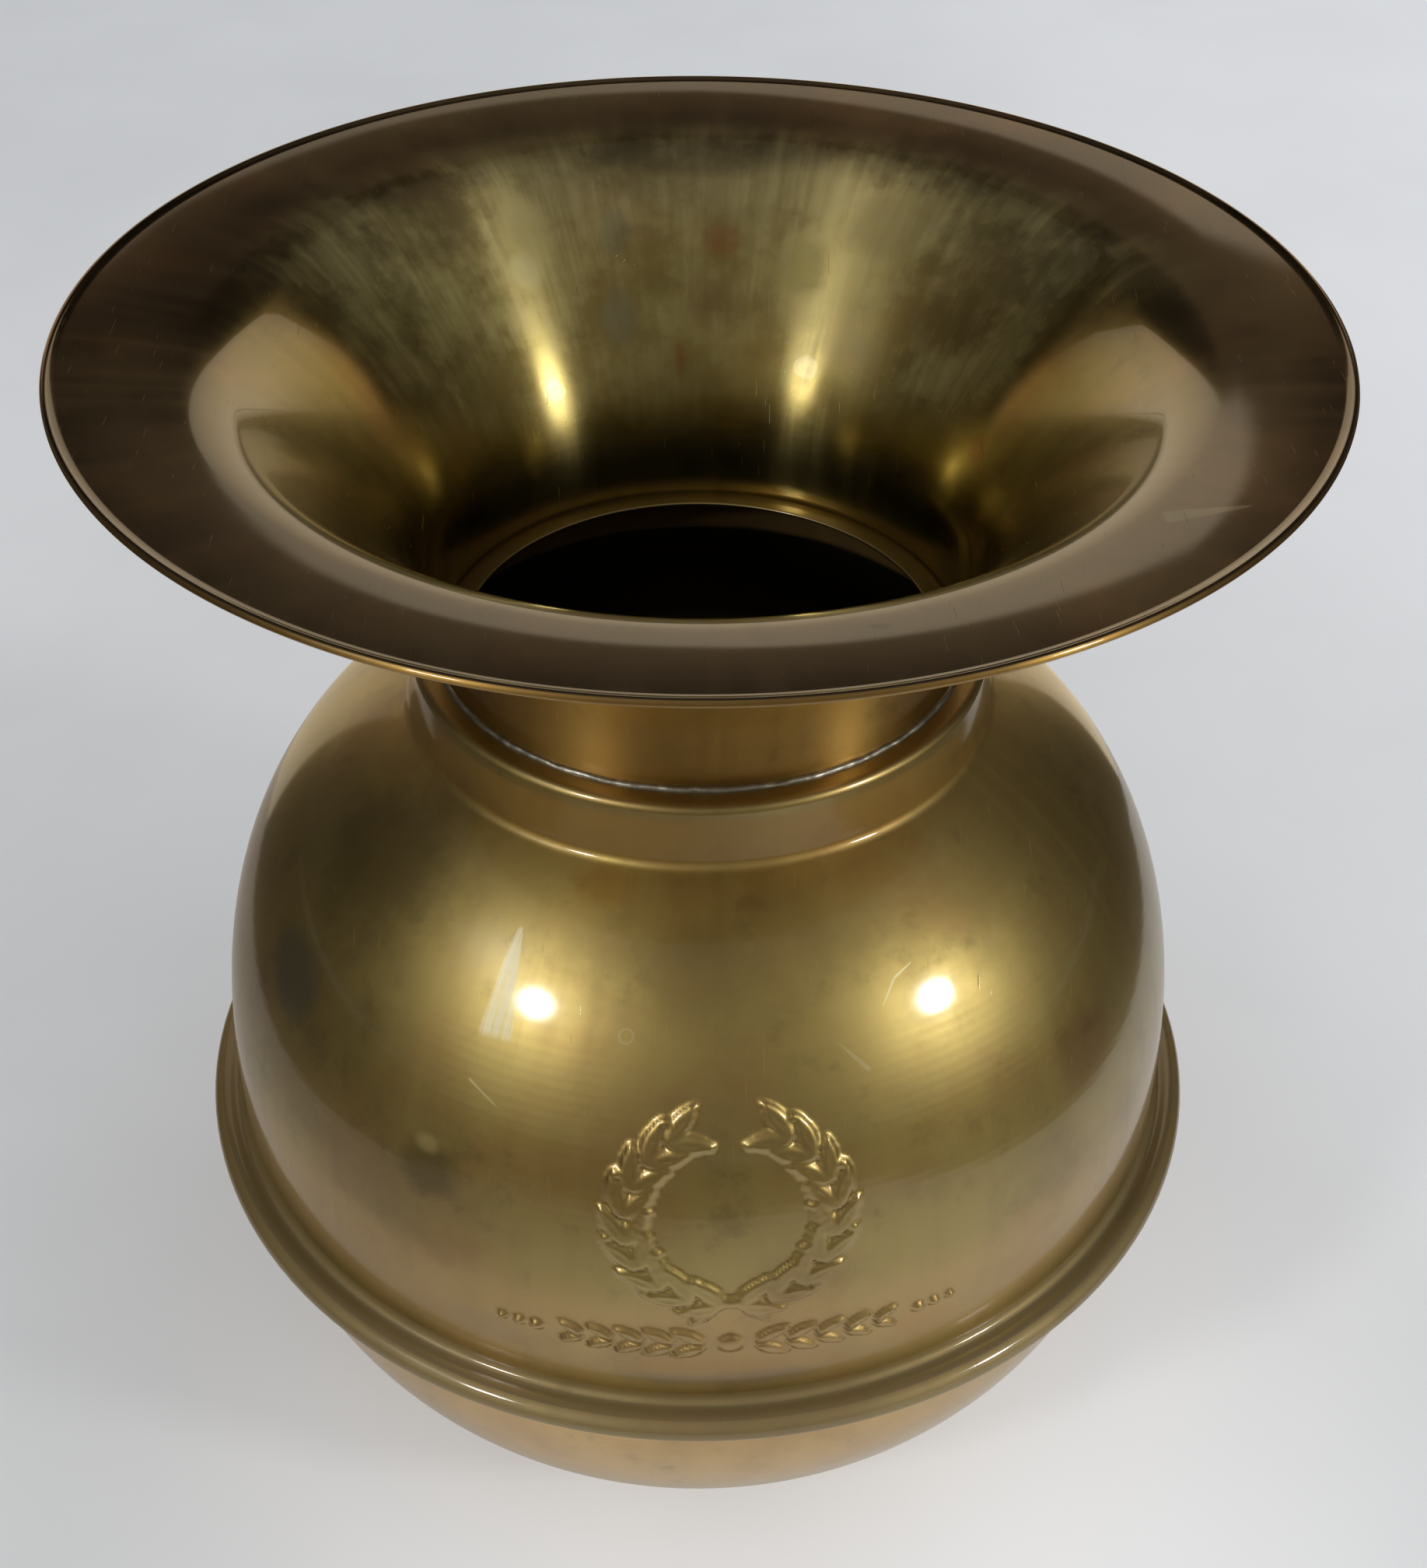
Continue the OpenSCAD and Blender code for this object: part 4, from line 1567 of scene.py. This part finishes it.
    def room_paint(self) -> bpy.types.Material:
        """Gives the dim warm room round the set, as the brass mirrors it.

        Returns:
            The material.
        """
        r = Recipe("room, mirrored")
        way = r.add(VECTOR_MATH, {0: r.place}, 0, operation="NORMALIZE")
        mottle = r.add(NOISE_TEXTURE, {"Vector": way, "Scale": 3.2, "Detail": 3.0}, 0)
        level = r.add(MAP_RANGE, {
            "Value": mottle, "From Min": 0.3, "From Max": 0.7, "To Min": 0.75, "To Max": 1.25}, 0)
        colour = r.add(VECTOR_MATH, {0: linear("FFF2DC", self.room_light)[:3], "Scale": level}, 0,
                       operation="SCALE")
        darks = (
            Glow((-78, 12), 5.0, "FFFFFF", 0.55),
            Glow((62, 14), 6.0, "FFFFFF", 0.55),
            Glow((0, 48), 6.0, "FFFFFF", 0.50),
        )
        for dark in darks:
            lobe = self.lobe(r, way, dark)
            keep = r.add(MATH, {0: lobe, 1: -dark.strength, 2: 1.0}, 0, operation="MULTIPLY_ADD")
            colour = r.add(VECTOR_MATH, {0: colour, "Scale": keep}, 0, operation="SCALE")
        lights = (
            Glow((180, 80), 4.0, "FFF4DC", 0.16),
            Glow((180, 15), 3.0, "FFF0D8", 0.07),
            Glow((-136, 34), 10.0, "FFF2D0", 0.35),
            Glow((120, 24), 10.0, "FFF2D0", 0.30),
            Glow((-120, 40), 120.0, "FFFFFF", 1.6),
        )
        for light in lights:
            lobe = self.lobe(r, way, light)
            glow = r.add(VECTOR_MATH, {0: linear(light.colour, light.strength)[:3], "Scale": lobe}, 0,
                         operation="SCALE")
            colour = r.add(VECTOR_MATH, {0: colour, 1: glow}, 0, operation="ADD")
        return r.finish(r.add(EMISSION, {"Color": colour, "Strength": 1.0}, 0))

    def lobe(self, r: Recipe, way: Socket, glow: Glow) -> Socket:
        """Gives a soft round area of the room.

        Args:
            r: the room's material.
            way: unit vector from the axis of the set.
            glow: the area.

        Returns:
            A value socket, 1 in the middle of the area.
        """
        facing = r.add(VECTOR_MATH, {0: way, 1: glow.axis()}, "Value", operation="DOT_PRODUCT")
        ahead = r.add(MATH, {0: facing, 1: 0.0}, 0, operation="MAXIMUM")
        return r.add(MATH, {0: ahead, 1: glow.spread}, 0, operation="POWER")

    def floor(self) -> None:
        """Makes the pale floor, with painted light: for camera and glossy rays it glows in a pool in front of
        and under the object, and more towards the right.
        """
        r = Recipe("pale painted board")
        mottle = r.cloud(r.place, 4.0, 0.35, 0.7, 4.0)
        colour = r.tone(linear(self.floor_colour), linear("D3D4D5"), mottle, 1.0)
        # Painted light: the floor glows in a pool in front of the object and more towards the right, seen by
        # camera, glossy and transmission rays.
        near = r.add(VECTOR_MATH, {0: r.place, 1: (0.02, -0.08, 0)}, "Value", operation="DISTANCE")
        front = r.add(MAP_RANGE, {
            "Value": near, "From Min": 0.17, "From Max": 0.03, "To Max": self.floor_painted_front_light}, 0, **SOFT)
        x = r.add(SEPARATE, {0: r.place}, "X")
        right = r.add(MAP_RANGE, {
            "Value": x, "From Min": -0.1, "From Max": 0.35, "To Max": self.floor_painted_right_light}, 0)
        light = r.add(MATH, {0: front, 1: right}, 0, operation="ADD")
        seen = None
        for kind in ("Is Camera Ray", "Is Glossy Ray", "Is Transmission Ray"):
            ray = r.add("ShaderNodeLightPath", {}, kind)
            seen = ray if seen is None else r.add(MATH, {0: seen, 1: ray}, 0, operation="MAXIMUM")
        paint = r.finish(r.add(PRINCIPLED, {
            "Base Color": colour, "Roughness": 0.9, "Specular IOR Level": 0.0,
            "Emission Color": linear("FBFCFF"), "Emission Strength": r.product(light, seen),
        }, 0))
        shape = bmesh.new()
        bmesh.ops.create_grid(shape, x_segments=1, y_segments=1, size=self.floor_half)
        self.stage_piece("floor", shape, paint, False)

    def mirror_set(self) -> None:
        """Makes the board, the back card and the room that the brass mirrors."""
        half = (self.board_half, self.board_half)
        self.card("board_card", (0, 0, self.board_z), half, False, self.board_paint())
        half_high = self.card_top * self.card_spare
        middle = ((self.card_left + self.card_right) / 2, self.board_back, half_high)
        half = ((self.card_right - self.card_left) / 2, half_high)
        self.card("back_card", middle, half, True, self.card_paint())
        shape = bmesh.new()
        bmesh.ops.create_icosphere(shape, subdivisions=4, radius=self.room_r)
        self.stage_piece("room", shape, self.room_paint(), True)

    def lamps(self) -> None:
        """Makes the two lamps, aimed at the middle of the object."""
        for hand, toward in self.lamp_toward.items():
            light = bpy.data.lights.new(f"lamp_{hand.value}", "AREA")
            light.shape = "DISK"
            light.size = self.lamp_size
            light.energy = self.lamp_watts[hand]
            light.color = linear("FFFEFA")[:3]
            lamp = bpy.data.objects.new(light.name, light)
            away = Vector(toward).normalized()
            lamp.location = away * self.lamp_distance + Vector(self.lamp_aim)
            lamp.rotation_euler = away.to_track_quat("Z", "Y").to_euler()
            bpy.context.scene.collection.objects.link(lamp)

    def world(self) -> None:
        """Makes the even pale light of the sky round the set."""
        world = bpy.data.worlds.new("pale surroundings")
        world.use_nodes = True
        back = world.node_tree.nodes["Background"]
        back.inputs["Color"].default_value = linear(self.world_colour)
        back.inputs["Strength"].default_value = self.world_strength
        bpy.context.scene.world = world

    def build(self) -> None:
        """Builds the whole set."""
        self.world()
        self.floor()
        self.mirror_set()
        self.lamps()


def dress(piece: bpy.types.Object, material: bpy.types.Material) -> None:
    """Gives a piece one material in place of all that it has."""
    piece.data.materials.clear()
    piece.data.materials.append(material)


def main() -> None:
    """Builds the set, the pieces and their finishes."""
    logging.basicConfig(level=logging.INFO, format="%(asctime)s %(message)s")
    scene = bpy.context.scene
    scene.view_settings.view_transform = "Standard"
    PhotoCamera().build()
    Studio().build()
    log.info("set and camera are ready")

    mouth_brass = MouthBrass(
        "lacquered brass, aged mouth", metal="BF9850", tarnish="7A6A40", tarnish_strength=0.4,
        warm_strength=0.14, roughness=0.14, grain=0.9, lacquer_roughness=0.04, wear_and_painted_light=MOUTH_WEAR
    ).build()
    body_brass = LacqueredBrass("lacquered brass, body", grain=0.25, wear_and_painted_light=BODY_WEAR_AND_PAINTED_LIGHT).build()
    clean_brass = LacqueredBrass(
        "lacquered brass, bottom", metal="EFC984", tarnish_strength=0.2, streak_strength=0.0
    ).build()
    base_brass = LacqueredBrass("brass, dull base", tarnish_strength=0.9, roughness=0.42).build()
    solder = SoftSolder().build()
    iron = CastIron().build()

    for maker, material in (
        (Funnel(), mouth_brass), (UpperBowl(), body_brass), (LowerBowl(), clean_brass), (SolderSeam(), solder)
    ):
        piece = maker.build()
        dress(piece, material)
        log.info("%s has %d faces", piece.name, len(piece.data.polygons))
    for name, material in (("ballast_disc", iron), ("base_plate", base_brass), ("base_solder", solder)):
        dress(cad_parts[name], material)
        log.info("%s has its finish", name)


if __name__ == "__main__":
    main()
